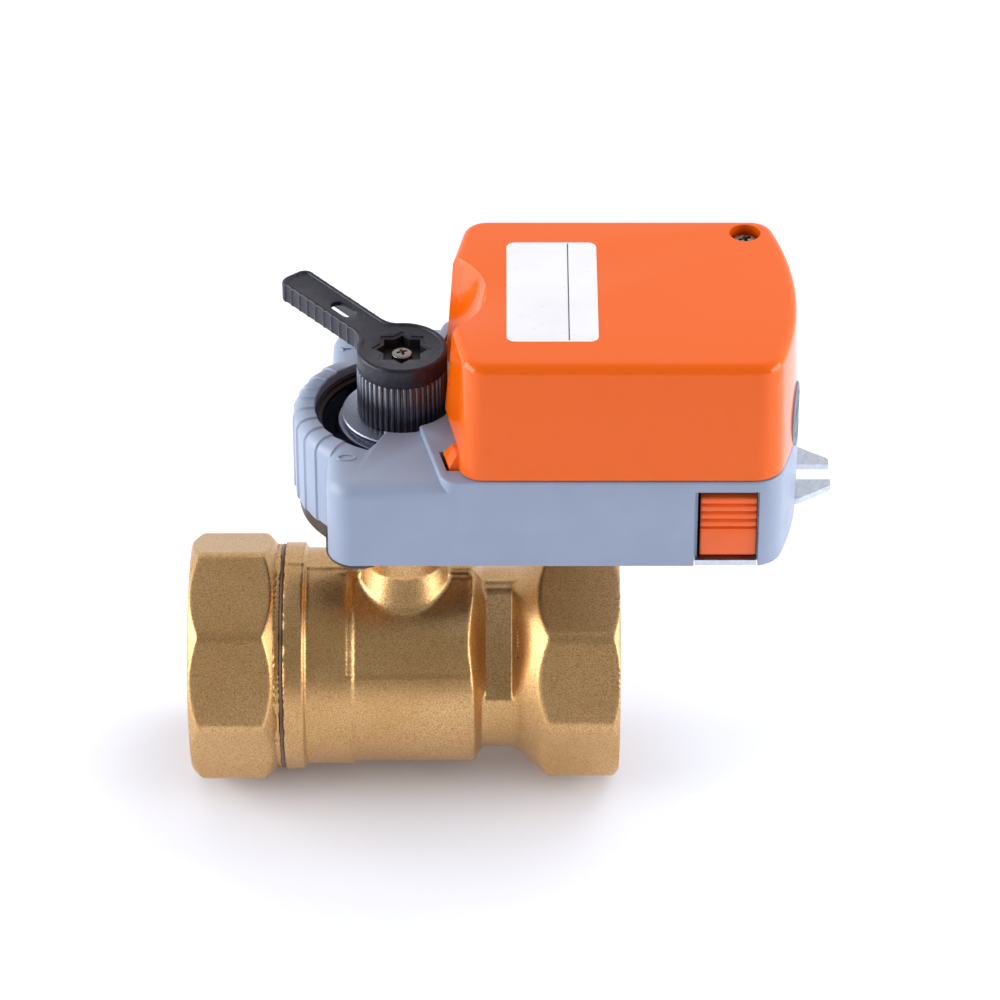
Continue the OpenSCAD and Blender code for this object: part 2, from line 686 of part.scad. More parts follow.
module terminal_block() color("green") translate([70.5, -24, board_z + board_t]) difference() {
    cube([9.5, terminals * terminal_pitch + 1, 9]);
    for (i = [0:terminals - 1]) translate([0, 0.5 + terminal_pitch * (i + 0.5), 0]) {
        translate([4, 0, 5]) cylinder(r = 1.9, h = 8);
        translate([6, -1.8, 1.2]) cube([8, 3.6, 3]);
    }
}
module terminal_screws() color("silver") for (i = [0:terminals - 1])
    translate([74.5, -23.5 + terminal_pitch * (i + 0.5), board_z + board_t + 5]) difference() {
        cylinder(r = 1.8, h = 2.4);
        translate([0, 0, 2.4]) cube([4, 0.5, 1.6], center = true);
    }
module capacitor() color("darkslateblue") translate([62, -13, board_z + board_t]) cylinder(r = 5, h = 9);
module relay() color("royalblue") translate([38, 4, board_z + board_t]) cube([15.5, 18, 9]);
module driver_chip() color("#222222") {
    translate([34, -14, board_z + board_t]) cube([12, 8, 1.6]);
    for (i = [0:5]) for (y = [-15.2, -6.01]) translate([34.9 + 2 * i, y, board_z + board_t]) cube([0.6, 1.21, 0.5]);
}

placed() valve_body();
placed() end_cap();
placed() cap_seal();
placed() seat_inlet();
placed() seat_outlet();
placed() ball();
placed() stem();
placed() stem_rings();
placed() thrust_washer();
placed() adapter();
placed() adapter_screws();
placed() base_plate();
placed() base_screws();
placed() lower_bush();
placed() housing();
placed() dial_ring();
placed() hub();
placed() hub_gear();
placed() fluted_sleeve();
placed() handle();
placed() handle_screw();
placed() cover();
placed() cover_screw();
placed() label();
placed() cable_grommet();
placed() release_button();
placed() button_spring();
placed() gear_2();
placed() gear_2_axle();
placed() gear_1();
placed() gear_1_axle();
placed() motor();
placed() motor_pinion();
placed() gear_plate();
placed() gear_pillars();
placed() feedback_sensor();
placed() sensor_gear();
placed() circuit_board();
placed() board_pillars();
placed() board_screws();
placed() terminal_block();
placed() terminal_screws();
placed() capacitor();
placed() relay();
placed() driver_chip();
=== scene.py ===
# The looks of a motorized ball valve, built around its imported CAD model.
# Shapes are worked out in millimetres about the stem axis, with z = 0 on the pipe axis,
# and become metres in the model's own frame when their mesh is made.
import json
import math

import bmesh
import bpy
import numpy as np
from mathutils import Matrix, Vector


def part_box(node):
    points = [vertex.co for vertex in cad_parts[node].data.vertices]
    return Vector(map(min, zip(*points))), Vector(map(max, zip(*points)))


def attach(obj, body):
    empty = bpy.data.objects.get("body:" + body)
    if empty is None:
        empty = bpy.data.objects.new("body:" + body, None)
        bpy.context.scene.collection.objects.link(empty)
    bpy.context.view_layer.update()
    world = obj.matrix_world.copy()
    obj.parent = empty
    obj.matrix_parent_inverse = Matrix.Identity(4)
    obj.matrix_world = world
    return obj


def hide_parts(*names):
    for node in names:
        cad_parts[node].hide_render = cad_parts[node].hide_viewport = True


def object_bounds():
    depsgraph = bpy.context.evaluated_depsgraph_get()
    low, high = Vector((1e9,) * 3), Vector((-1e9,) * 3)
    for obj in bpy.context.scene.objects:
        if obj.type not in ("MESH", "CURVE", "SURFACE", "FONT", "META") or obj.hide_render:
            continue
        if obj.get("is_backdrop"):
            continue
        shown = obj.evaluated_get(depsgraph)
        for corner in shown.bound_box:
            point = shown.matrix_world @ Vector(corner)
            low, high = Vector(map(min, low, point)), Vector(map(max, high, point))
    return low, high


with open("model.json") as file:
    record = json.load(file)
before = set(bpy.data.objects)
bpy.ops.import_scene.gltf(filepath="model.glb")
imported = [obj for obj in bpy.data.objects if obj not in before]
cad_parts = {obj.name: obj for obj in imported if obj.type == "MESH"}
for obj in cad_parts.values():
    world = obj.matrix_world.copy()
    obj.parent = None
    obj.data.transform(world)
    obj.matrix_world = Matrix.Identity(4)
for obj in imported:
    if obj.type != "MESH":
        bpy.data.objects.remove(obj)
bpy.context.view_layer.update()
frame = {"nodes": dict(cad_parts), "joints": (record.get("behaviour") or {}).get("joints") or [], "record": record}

MM = 0.001
NODES = frame["nodes"]
JOINTS = {joint["name"]: joint for joint in frame["joints"]}
STEM = Vector(JOINTS["output_turn"]["pos_m"])
SHUT = 90.0
LEVER = SHUT - JOINTS["output_turn"]["range_deg"][0]


def span(node, axis):
    """The lowest and highest place of a CAD node along an axis, in millimetres about the stem."""
    low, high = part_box(node)
    return (low[axis] - STEM[axis]) / MM, (high[axis] - STEM[axis]) / MM


X, Y, Z = 0, 1, 2
HOUSING_RIGHT = span("housing", X)[1]
HALF_WIDTH = span("housing", Y)[1]
BASE_Z, DECK_Z = span("housing", Z)
PLATEAU_Z = DECK_Z - 1.4
COVER_TOP = span("cover", Z)[1]
COVER_H = COVER_TOP - DECK_Z
HUB_TOP = span("hub", Z)[1] + 0.1
SLEEVE_TOP = span("fluted_sleeve", Z)[1]
HANDLE_TOP = span("handle", Z)[1]
PORT_X = span("valve_body", X)[1]
FLANGE_TOP = span("adapter", Z)[0]


# ---------- meshes

def polar(radius, degrees):
    angle = math.radians(degrees)
    return (radius * math.cos(angle), radius * math.sin(angle))


def arc(centre, radius, start, end, steps=8):
    """Points along an arc, both ends included."""
    points = []
    for i in range(steps + 1):
        x, y = polar(radius, start + (end - start) * i / steps)
        points.append((centre[0] + x, centre[1] + y))
    return points


def linked(name, data):
    """An object made from its data and put in the scene."""
    obj = bpy.data.objects.new(name, data)
    bpy.context.scene.collection.objects.link(obj)
    return obj


def new_object(name, verts, faces):
    """An object from millimetres about the stem axis."""
    mesh = bpy.data.meshes.new(name)
    verts = np.asarray(verts, float) * MM + np.array(STEM)
    mesh.from_pydata(verts.tolist(), [], faces)
    return linked(name, mesh)


def smooth(mesh, sharp):
    mesh.polygons.foreach_set("use_smooth", [True] * len(mesh.polygons))
    mesh.set_sharp_from_angle(angle=math.radians(sharp))


def tidy(obj, sharp=32.0, merge=0.0):
    """Outward normals, and smooth shading with edges sharper than an angle kept."""
    bm = bmesh.new()
    bm.from_mesh(obj.data)
    if merge:
        bmesh.ops.remove_doubles(bm, verts=bm.verts, dist=merge * MM)
    bmesh.ops.recalc_face_normals(bm, faces=bm.faces)
    bm.to_mesh(obj.data)
    bm.free()
    smooth(obj.data, sharp)
    return obj


def loft(name, rings):
    """A skin over rings of equal length, closed by flat ends."""
    count = len(rings[0])
    verts = [point for ring in rings for point in ring]
    faces = []
    for i in range(len(rings) - 1):
        for j in range(count):
            a, b = i * count + j, i * count + (j + 1) % count
            faces.append((a, b, b + count, a + count))
    faces.append(tuple(range(count - 1, -1, -1)))
    faces.append(tuple(range((len(rings) - 1) * count, len(rings) * count)))
    return new_object(name, verts, faces)


def stack(name, levels):
    """A loft upwards through outlines: each level is (z, outline)."""
    return loft(name, [[(x, y, z) for x, y in outline] for z, outline in levels])


def shell(name, outline, steps):
    """A stack of an outline function: each step is (z, inset)."""
    return stack(name, [(z, outline(inset)) for z, inset in steps])


def prism(name, outline, low, high):
    """An outline raised from one height to another."""
    return stack(name, [(low, outline), (high, outline)])


def rounded_edge(z, inset, radius, upwards=True, steps=6):
    """Steps of a quarter-round from a wall to the flat face that it meets at z."""
    made = []
    for i in range(steps + 1):
        angle = math.pi / 2 * i / steps
        drop = radius * (1 - math.sin(angle))
        made.append((z - drop if upwards else z + drop, inset + radius * (1 - math.cos(angle))))
    return made if upwards else made[::-1]


def swept_faces(n, turns, count):
    """Faces that join each section of n points to the next one round."""
    faces = []
    for i in range(count):
        a, b = i * n, (i + 1) % turns * n
        for j in range(n):
            k = (j + 1) % n
            faces.append((a + j, b + j, b + k, a + k))
    return faces


def revolve(name, profile, count=96, displace=None, start=0.0, end=360.0):
    """Turns (radius, z) points about the z axis; a displacement moves them along their normals."""
    full = abs(end - start) >= 360.0
    turns = count if full else count + 1
    normals = profile_normals(profile)
    verts = []
    for i in range(turns):
        angle = start + (end - start) * i / count
        for (r, z), (nr, nz) in zip(profile, normals):
            push = displace(angle) if displace else 0.0
            verts.append((*polar(r + nr * push, angle), z + nz * push))
    n = len(profile)
    faces = swept_faces(n, turns, count)
    if not full:
        faces.append(tuple(range(n)))
        faces.append(tuple(range((turns - 1) * n, turns * n))[::-1])
    return new_object(name, verts, faces)


def profile_normals(profile):
    """Outward normals of a closed profile that runs anticlockwise in (radius, z)."""
    made = []
    for i, point in enumerate(profile):
        before, after = profile[i - 1], profile[(i + 1) % len(profile)]
        dr, dz = after[0] - before[0], after[1] - before[1]
        length = math.hypot(dr, dz) or 1.0
        made.append((dz / length, -dr / length))
    return made


def discard(obj):
    mesh = obj.data
    bpy.data.objects.remove(obj)
    bpy.data.meshes.remove(mesh)


def boolean(obj, other, operation):
    """Applies an exact boolean to obj's mesh, and removes the other object."""
    modifier = obj.modifiers.new("cut", "BOOLEAN")
    modifier.operation = operation
    modifier.solver = "EXACT"
    modifier.object = other
    apply_modifiers(obj)
    discard(other)
    return obj


def cut(obj, *others):
    for other in others:
        boolean(obj, other, "DIFFERENCE")
    return obj


def fuse(obj, *others):
    for other in others:
        boolean(obj, other, "UNION")
    return obj


def apply_modifiers(obj):
    bpy.context.view_layer.update()
    graph = bpy.context.evaluated_depsgraph_get()
    mesh = bpy.data.meshes.new_from_object(obj.evaluated_get(graph))
    old = obj.data
    obj.modifiers.clear()
    obj.data = mesh
    bpy.data.meshes.remove(old)
    mesh.name = obj.name
    return obj


def bevel(obj, width, segments=2, angle=30.0):
    """Rounds the edges that are sharper than an angle."""
    modifier = obj.modifiers.new("bevel", "BEVEL")
    modifier.width = width * MM
    modifier.segments = segments
    modifier.limit_method = "ANGLE"
    modifier.angle_limit = math.radians(angle)
    return apply_modifiers(obj)


def cylinder(name, centre, radius, low, high, count=48, top_radius=None):
    """A closed cylinder for cutting with, or a cone where a top radius is given."""
    top_radius = radius if top_radius is None else top_radius
    return stack(name, [(z, arc(centre, r, 0, 360 * (count - 1) / count, count - 1))
                        for z, r in ((low, radius), (high, top_radius))])


def rectangle(left, right, bottom, top):
    return [(left, bottom), (right, bottom), (right, top), (left, top)]


def rounded_rectangle(left, right, bottom, top, corner, inset):
    points = []
    for x, y, start in ((right - corner, bottom + corner, 270), (right - corner, top - corner, 0),
                        (left + corner, top - corner, 90), (left + corner, bottom + corner, 180)):
        points += arc((x, y), corner - inset, start, start + 90)
    return points


def long_hole(left, right, radius):
    """The outline of a slot with round ends, whose end arcs' centres lie on the X axis."""
    return arc((right, 0), radius, -90, 90, 12) + arc((left, 0), radius, 90, 270, 12)


def box(name, low, high):
    return prism(name, rectangle(low[0], high[0], low[1], high[1]), low[2], high[2])


def move(obj, matrix):
    """Moves a mesh by a matrix given in millimetres about the stem axis."""
    to_stem = Matrix.Translation(STEM)
    scaled = matrix.copy()
    scaled.translation = matrix.translation * MM
    obj.data.transform(to_stem @ scaled @ to_stem.inverted())
    return obj


def turned(degrees, axis="Z"):
    return Matrix.Rotation(math.radians(degrees), 4, axis)


def shifted(x, y, z):
    return Matrix.Translation((x, y, z))


def join(obj, *others):
    """Puts other closed shells into obj's mesh."""
    bm = bmesh.new()
    bm.from_mesh(obj.data)
    for other in others:
        bm.from_mesh(other.data)
        discard(other)
    bm.to_mesh(obj.data)
    bm.free()
    return obj


def place(obj, body, slot, *stands_for, finish=None):
    """The last step for a piece: its finish, the body that it rides on and what it replaces."""
    obj.data.materials.clear()
    obj.data.materials.append(LOOKS[finish or slot])
    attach(obj, body)
    if stands_for:
        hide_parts(*stands_for)
    return obj


# ---------- shapes from distance fields

CORNERS = [(i, j, k) for i in (0, 1) for j in (0, 1) for k in (0, 1)]
EDGES = [(a, b) for a in range(8) for b in range(a + 1, 8)
         if sum(p != q for p, q in zip(CORNERS[a], CORNERS[b])) == 1]


def skin_of(name, field, low, high, step):
    """The surface where a field of (x, y, z) arrays is zero, as quads that are then drawn onto it."""
    axes = [np.arange(a, b + step, step) for a, b in zip(low, high)]
    values = field(*np.meshgrid(*axes, indexing="ij", sparse=True))
    inside = values < 0
    shape = tuple(n - 1 for n in values.shape)
    count = sum(inside[i:i + shape[0], j:j + shape[1], k:k + shape[2]].astype(np.int8)
                for i, j, k in CORNERS)
    cells = np.argwhere((count > 0) & (count < 8))
    corner_values = np.stack(
        [values[cells[:, 0] + i, cells[:, 1] + j, cells[:, 2] + k] for i, j, k in CORNERS], 1)
    total = np.zeros((len(cells), 3))
    crossings = np.zeros((len(cells), 1))
    corners = np.array(CORNERS, float)
    for a, b in EDGES:
        va, vb = corner_values[:, a:a + 1], corner_values[:, b:b + 1]
        crosses = (va < 0) != (vb < 0)
        share = np.where(crosses, va / np.where(crosses, va - vb, 1.0), 0.0)
        total += np.where(crosses, corners[a] + share * (corners[b] - corners[a]), 0.0)
        crossings += crosses
    points = np.array(low) + step * (cells + total / crossings)
    points = drawn_onto(points, field, step)
    number = -np.ones(shape, np.int64)
    number[tuple(cells.T)] = np.arange(len(cells))
    obj = new_object(name, points, crossing_quads(inside, number).tolist())
    obj.data.validate()
    return tidy(obj, sharp=50.0)


def drawn_onto(points, field, step):
    """Moves points along the field's slope onto its zero surface, by less than half a cell."""
    reach, small = 0.45 * step, 0.05 * step
    start = points.copy()
    for _ in range(3):
        here = field(*points.T)
        slope = np.stack([
            (field(*(points + shift).T) - field(*(points - shift).T)) / (2 * small)
            for shift in np.eye(3) * small], 1)
        size = np.maximum((slope ** 2).sum(1), 0.05)
        points = points - slope * (here / size)[:, None] * 0.9
        points = start + np.clip(points - start, -reach, reach)
    return points


def crossing_quads(inside, number):
    """A quad for each grid edge that crosses the surface, wound outwards."""
    quads = []
    for axis in range(3):
        u, v = (axis + 1) % 3, (axis + 2) % 3
        here = np.take(inside, range(inside.shape[axis] - 1), axis)
        there = np.take(inside, range(1, inside.shape[axis]), axis)
        for leaving in (True, False):
            edge = np.argwhere((here & ~there) if leaving else (~here & there))
            edge = edge[(edge[:, u] > 0) & (edge[:, v] > 0)]
            edge = edge[(edge[:, u] < number.shape[u]) & (edge[:, v] < number.shape[v])]
            loop = []
            for du, dv in ((1, 1), (0, 1), (0, 0), (1, 0)):
                cell = edge.copy()
                cell[:, u] -= du
                cell[:, v] -= dv
                loop.append(number[tuple(cell.T)])
            loop = np.stack(loop if leaving else loop[::-1], 1)
            quads.append(loop)
    quads = np.concatenate(quads)
    return quads[(quads >= 0).all(1)]


def blend_in(a, b, soft):
    """The union of two fields with a fillet."""
    mix = np.clip(0.5 + 0.5 * (b - a) / soft, 0, 1)
    return b + (a - b) * mix - soft * mix * (1 - mix)


def keep_both(a, b, soft):
    """The overlap of two fields with a rounded edge."""
    return -blend_in(-a, -b, soft)


def take_off(a, b, soft):
    """The first field without the second."""
    return keep_both(a, -b, soft)


def ease(value, start, end):
    """A smooth step from 0 at the start to 1 at the end."""
    share = np.clip((value - start) / (end - start), 0, 1)
    return share * share * (3 - 2 * share)


def octagon_field(y, z, flats, corner):
    """An octagon about the pipe axis with an edge straight up, its corners rounded."""
    radius, angle = np.hypot(y, z), np.arctan2(z, y)
    eighth = math.pi / 4
    turn = np.mod(angle, eighth) - eighth / 2
    across = radius * np.cos(turn) - (flats / 2 - corner)
    along = np.abs(radius * np.sin(turn)) - (flats / 2 - corner) * math.tan(eighth / 2)
    outside = np.hypot(np.maximum(across, 0), np.maximum(along, 0)) - corner
    return np.where(along <= 0, across - corner, np.where(across <= 0, along - corner, outside))


def port_field(radius, x, mouth, inward, angle):
    """What a screwed port takes away: a lead-in, the thread's grooves and a run-out."""
    minor, depth, pitch = 22.42, 18.0, 2.309
    thread, run_out, chamfer = 1.45, 3.5, 1.7
    along = (x - mouth) * inward
    phase = along / pitch - angle / (2 * math.pi)
    groove = np.abs(np.mod(phase, 1.0) - 0.5) * 2
    fade = 1 - ease(along, depth - run_out, depth - 0.5)
    cut_depth = thread * (1 - np.clip(groove * 1.15, 0, 1)) * fade
    lead_in = np.clip(chamfer - along, 0, 3)
    wall = minor + np.maximum(cut_depth, lead_in)
    return np.maximum(radius - wall, along - depth)


def rod_field(radius, x, size, low, high):
    """A rod along the pipe axis, of a given radius."""
    return np.maximum(radius - size, np.maximum(low - x, x - high))


# ---------- brass

SOFT = 0.7
BODY_FLATS, BODY_CORNER = 52.4, 4.6
CAP_FLATS, CAP_CORNER = 53.4, 3.6
COLLAR_X, COLLAR_R = -27.4, 26.2
NECK_X, NECK_R = 16.7, 21.0
BORE_R = 14.5
SEAT_R = 18.05
RUN_OUT_R = 19.0
SPIGOT_R = 23.0
BALL_ROOM_R = 20.9
SPIGOT_GAP = 0.05


def barrel_radius(x, y, z):
    """The forged barrel: its collar, shoulder, panelled middle and neck."""
    steps = ((COLLAR_X, COLLAR_R), (-22.75, 25.0), (-11.6, 24.35), (NECK_X, NECK_R))
    radius = steps[0][1]
    for (at, size), (_, before), width in zip(steps[1:], steps, (0.5, 0.6, 1.5)):
        radius = radius + (size - before) * ease(x, at - width, at + width)
    angle = np.degrees(np.arctan2(np.abs(y), z))
    panel = ease(x, -13.4, -12.6) * ease(15.4 - x, 0, 0.8)
    panel = panel * ease(angle, 3.5, 6) * ease(66 - angle, 0, 2.4)
    parting = 0.28 * np.exp(-(y / 0.55) ** 2) * (z > 0)
    return radius - 0.4 * panel + parting


def pocket_field(x, y, z):
    """The flat-floored pocket in the neck's upper front."""
    floor, middle = 16.9, 21.45
    half_width, half_length = 3.1, 12.2
    height = (z - y) * math.sqrt(0.5)
    along = np.abs(y + z) * math.sqrt(0.5)
    across = np.abs(x - middle)
    bed = floor + 1.95 * np.maximum(across - half_width, 0) + 0.9 * np.maximum(along - half_length, 0)
    return (bed - height) * 0.5


def boss_field(x, y, z):
    """The flared boss that the stem rises through, and the flange on top of it."""
    radius = np.hypot(x, y)
    flare = 11.0 - 0.42 * np.clip(z - 23.0, -9, 9)
    skirt = np.maximum(radius - flare, z - 27.6)
    post = np.maximum(radius - 8.9, z - FLANGE_TOP)
    boss = blend_in(skirt, post, 0.6)
    web = np.maximum(np.maximum(np.abs(x) - 15.0, np.abs(y) - 2.2), np.abs(z - 21.5) - 3.2)
    boss = blend_in(boss, web, 0.8)
    ear_x, ear_y = 9.7, 19.2
    length = math.hypot(ear_x, ear_y)
    along = (x * ear_x + y * ear_y) / length
    beside = (x * ear_y - y * ear_x) / length
    bar = np.hypot(np.maximum(np.abs(along) - length, 0), beside) - 4.8
    plate = np.minimum(bar, radius - 12.0)
    plate = keep_both(plate, np.abs(z - (FLANGE_TOP - 1.5)) - 1.5, 0.5)
    boss = blend_in(boss, plate, 0.8)
    return np.maximum(boss, 15.0 - z)


def body_field(x, y, z):
    """The valve's forged body: its barrel, outlet octagon, pocket and stem boss, bored out."""
    radius, angle = np.hypot(y, z), np.arctan2(z, y)
    barrel = radius - barrel_radius(x, y, z)
    barrel = np.maximum(barrel, np.maximum(COLLAR_X - 0.05 - x, x - 34.0))
    octagon = octagon_field(y, z, BODY_FLATS, BODY_CORNER)
    throat = (radius - (NECK_R + 0.9 * (x - 24.9))) * 0.74
    chamfer = (radius - (26.3 + 1.3 * (PORT_X - x))) * 0.61
    octagon = keep_both(keep_both(octagon, throat, SOFT), chamfer, 0.35)
    octagon = np.maximum(octagon, np.maximum(20.0 - x, x - PORT_X))
    made = blend_in(barrel, octagon, 1.1)
    made = take_off(made, pocket_field(x, y, z), SOFT)
    made = blend_in(made, boss_field(x, y, z), 0.9)
    made = take_off(made, port_field(radius, x, PORT_X, -1, angle), 0.15)
    for size, low, high in ((SPIGOT_R, -30, -16), (BALL_ROOM_R, -30, 12), (SEAT_R, 10, 17.2),
                            (BORE_R, 11, 30), (RUN_OUT_R, 26, 34)):
        made = np.maximum(made, -rod_field(radius, x, size, low, high))
    stem_hole = np.maximum(np.hypot(x, y) - 6.1, 10.0 - z)
    return np.maximum(made, -stem_hole)


def cap_field(x, y, z):
    """The inlet cap: its octagon, the collar and groove behind it, and the spigot in the body."""
    radius, angle = np.hypot(y, z), np.arctan2(z, y)
    mouth = -PORT_X
    made = octagon_field(y, z, CAP_FLATS, CAP_CORNER)
    made = keep_both(made, (radius - (26.2 + 1.1 * (x - mouth))) * 0.67, 0.35)
    made = keep_both(made, (radius - (26.0 + 1.1 * (-29.7 - x))) * 0.67, 0.35)
    made = np.maximum(made, np.maximum(mouth - x, x + 29.5))
    collar = rod_field(radius, x, 25.75, -31.0, -28.35)
    groove = 0.35 * np.exp(-((x + 29.4) / 0.35) ** 2)
    made = blend_in(made, collar + groove, 0.3)
    spigot = np.minimum(rod_field(radius, x, SPIGOT_R - SPIGOT_GAP, -30, -16.1),
                        rod_field(radius, x, BALL_ROOM_R - SPIGOT_GAP, -20, -13))
    made = np.minimum(made, spigot)
    made = take_off(made, port_field(radius, x, mouth, 1, angle), 0.15)
    for size, low, high in ((RUN_OUT_R, -34, -28), (BORE_R, -33, -10), (SEAT_R, -17.2, -11)):
        made = np.maximum(made, -rod_field(radius, x, size, low, high))
    return made


def brass_pieces():
    step = 0.56
    body = skin_of("forged_valve_body", body_field, (-28.5, -29.5, -29.5), (51, 29.5, 46), step)
    place(body, "valve", "brass", "valve_body")
    cap = skin_of("forged_end_cap", cap_field, (-51, -29.5, -29.5), (-12, 29.5, 29.5), step)
    place(cap, "valve", "brass", "end_cap")


def sealant_bead():
    """The dark sealant squeezed out between the end cap and the body, a little uneven."""
    low, high = span("cap_seal", X)
    bead = [(25.7, low), (25.95, (low + high) / 2), (25.7, high), (23.1, high), (23.1, low)]
    obj = revolve("sealant_ring", bead, 160)
    outer, unevenness = 25 * MM, 0.09 * MM
    for vertex in obj.data.vertices:
        rel = vertex.co - STEM
        if rel.xy.length > outer:
            angle = math.atan2(rel.y, rel.x)
            out = unevenness * (math.sin(7 * angle) + math.sin(17 * angle + 1))
            vertex.co += Vector((out * math.cos(angle), out * math.sin(angle), 0))
    move(obj, turned(90, "Y"))
    place(tidy(obj), "valve", "sealant", "cap_seal")


# ---------- housing

WALL = 2.2
BLOCK_LEFT = -16.3
BLOCK_CORNER = 6.0
EDGE_R = 3.6
END_R = 90.0
END_CORNER = 7.0
NOSE_R = 24.3
NOSE_WALL = 2.3
RIB_STEP = 11.25
RIB_COUNT = 9
RIB_RISE = 0.4
RIB_CREST = 0.93
NOSE_HALF = RIB_COUNT * RIB_STEP / 2
OPEN_R = 19.6
STEP_X = 1.35
STEP_SLOPE = 0.238
WINDOW_LEFT, WINDOW_RIGHT = 64.4, 78.5
WINDOW_TOP = DECK_Z - 2.5
HOOK_Y = 24.6
HAIR = 0.02


def end_arc(end_x, half, corner, inset, steps=28):
    """The bulging end wall between two rounded corners, from the front to the back."""
    centre = end_x - END_R
    corner_y = half - corner
    corner_x = centre + math.sqrt((END_R - corner) ** 2 - corner_y ** 2)
    turn = math.degrees(math.atan2(corner_y, corner_x - centre))
    points = arc((corner_x, -corner_y), corner - inset, 270, 360 - turn, 10)[:-1]
    points += arc((centre, 0), END_R - inset, -turn, turn, steps)
    points += arc((corner_x, corner_y), corner - inset, turn, 90, 10)[1:]
    return points


def block_outline(inset):
    """The housing's walls, a hair inside the deck's so that no two faces lie in one plane."""
    inset = inset + HAIR
    left = BLOCK_LEFT + BLOCK_CORNER
    points = arc((left, BLOCK_CORNER - HALF_WIDTH), BLOCK_CORNER - inset, 180, 270, 12)
    points += end_arc(HOUSING_RIGHT, HALF_WIDTH, END_CORNER, inset)
    points += arc((left, HALF_WIDTH - BLOCK_CORNER), BLOCK_CORNER - inset, 90, 180, 12)
    return points


def slant_block(face, left, slope, half, corner, inset, steps, end):
    """An outline from the back half of its slanting left face, its two corners and its end wall."""
    lean = math.degrees(math.atan(slope))
    corner_y = half - corner
    corner_x = left + slope * corner_y + corner * math.hypot(1, slope)
    points = [(x, -y) for x, y in face]
    points += arc((corner_x, -corner_y), corner - inset, 180 + lean, 270, steps)
    points += end
    points += arc((corner_x, corner_y), corner - inset, 90, 180 - lean, steps)
    return points + face[:0:-1]


def deck_outline(inset):
    """The raised deck under the cover: it starts at a slanting step on each side."""
    step = [(STEP_X + STEP_SLOPE * y + inset, y) for y in (0, 8, 16, 24)]
    end = end_arc(HOUSING_RIGHT, HALF_WIDTH, END_CORNER, inset)
    return slant_block(step, STEP_X, STEP_SLOPE, HALF_WIDTH, 4.0, inset, 8, end)


def rib(angle):
    """How far the nose's skin stands out: each facet rises, then drops back at its line."""
    turn = (angle - (180 - NOSE_HALF)) / RIB_STEP
    if turn < 0 or turn > RIB_COUNT:
        return 0.0
    share = turn % 1.0
    if share < RIB_CREST:
        return RIB_RISE * share / RIB_CREST
    return RIB_RISE * (1 - share) / (1 - RIB_CREST)


def nose():
    """The ribbed nose around the dial, as a sector of a ring."""
    inner = OPEN_R + NOSE_WALL
    profile = [(OPEN_R, PLATEAU_Z - WALL), (inner, PLATEAU_Z - WALL), (inner, BASE_Z),
               (NOSE_R - 0.4, BASE_Z), (NOSE_R, BASE_Z + 0.4), (NOSE_R, BASE_Z + 8)]
    profile += [(NOSE_R - inset, z) for z, inset in rounded_edge(PLATEAU_Z, 0, 2.8)]
    profile += [(OPEN_R + 0.25, PLATEAU_Z), (OPEN_R, PLATEAU_Z - 0.25)]
    half = NOSE_HALF + 2.6
    return revolve("nose", profile, RIB_COUNT * 28, rib, 180 - half, 180 + half)


def dial_opening():
    """The outline of the opening that the hub's rim shows through."""
    sleeve_gap_r = 11.5
    horns = [(-5.6, 15.6), (-3.6, 11.2)]
    ring = arc((0, 0), OPEN_R, 112, 248, 64)
    around = arc((0, 0), sleeve_gap_r, 250, 470, 48)
    return ring + [(x, -y) for x, y in horns] + around + horns[::-1]


def digit_one():
    """A raised 1 beside the dial, turned so that its top points away from the cover."""
    centre_x, centre_y = -13.2, 22.6
    bar = [(-0.28, -1.5), (0.28, -1.5), (0.28, 1.7), (-0.2, 1.7), (-0.9, 1.0), (-0.9, 0.6), (-0.28, 0.95)]
    outline = [(centre_x - y * 0.8, centre_y + x * 0.9) for x, y in bar]
    return prism("one", outline, PLATEAU_Z - 0.3, PLATEAU_Z + 0.28)


def digit_nought():
    """A raised 0 beside the dial."""
    verts = []
    count, centre = 40, (-12.0, -21.2)
    section = [(-0.25, -0.3), (0.25, -0.3), (0.22, 0.2), (0.1, 0.28), (-0.1, 0.28), (-0.22, 0.2)]
    for i in range(count):
        x, y = polar(1.0, 360 * i / count)
        for across, up in section:
            verts.append((centre[0] + x * (1.9 + across), centre[1] + y * (1.05 + across), PLATEAU_Z + up))
    return new_object("nought", verts, swept_faces(len(section), count, count))


def slanted(sign, left, right, half):
    """A four-sided outline about the hook, its sides along the deck's step; sign picks the side."""
    corners = ((left, -half), (right, -half), (right, half), (left, half))
    return [(x + STEP_SLOPE * y, sign * (HOOK_Y + y)) for x, y in corners][::sign]


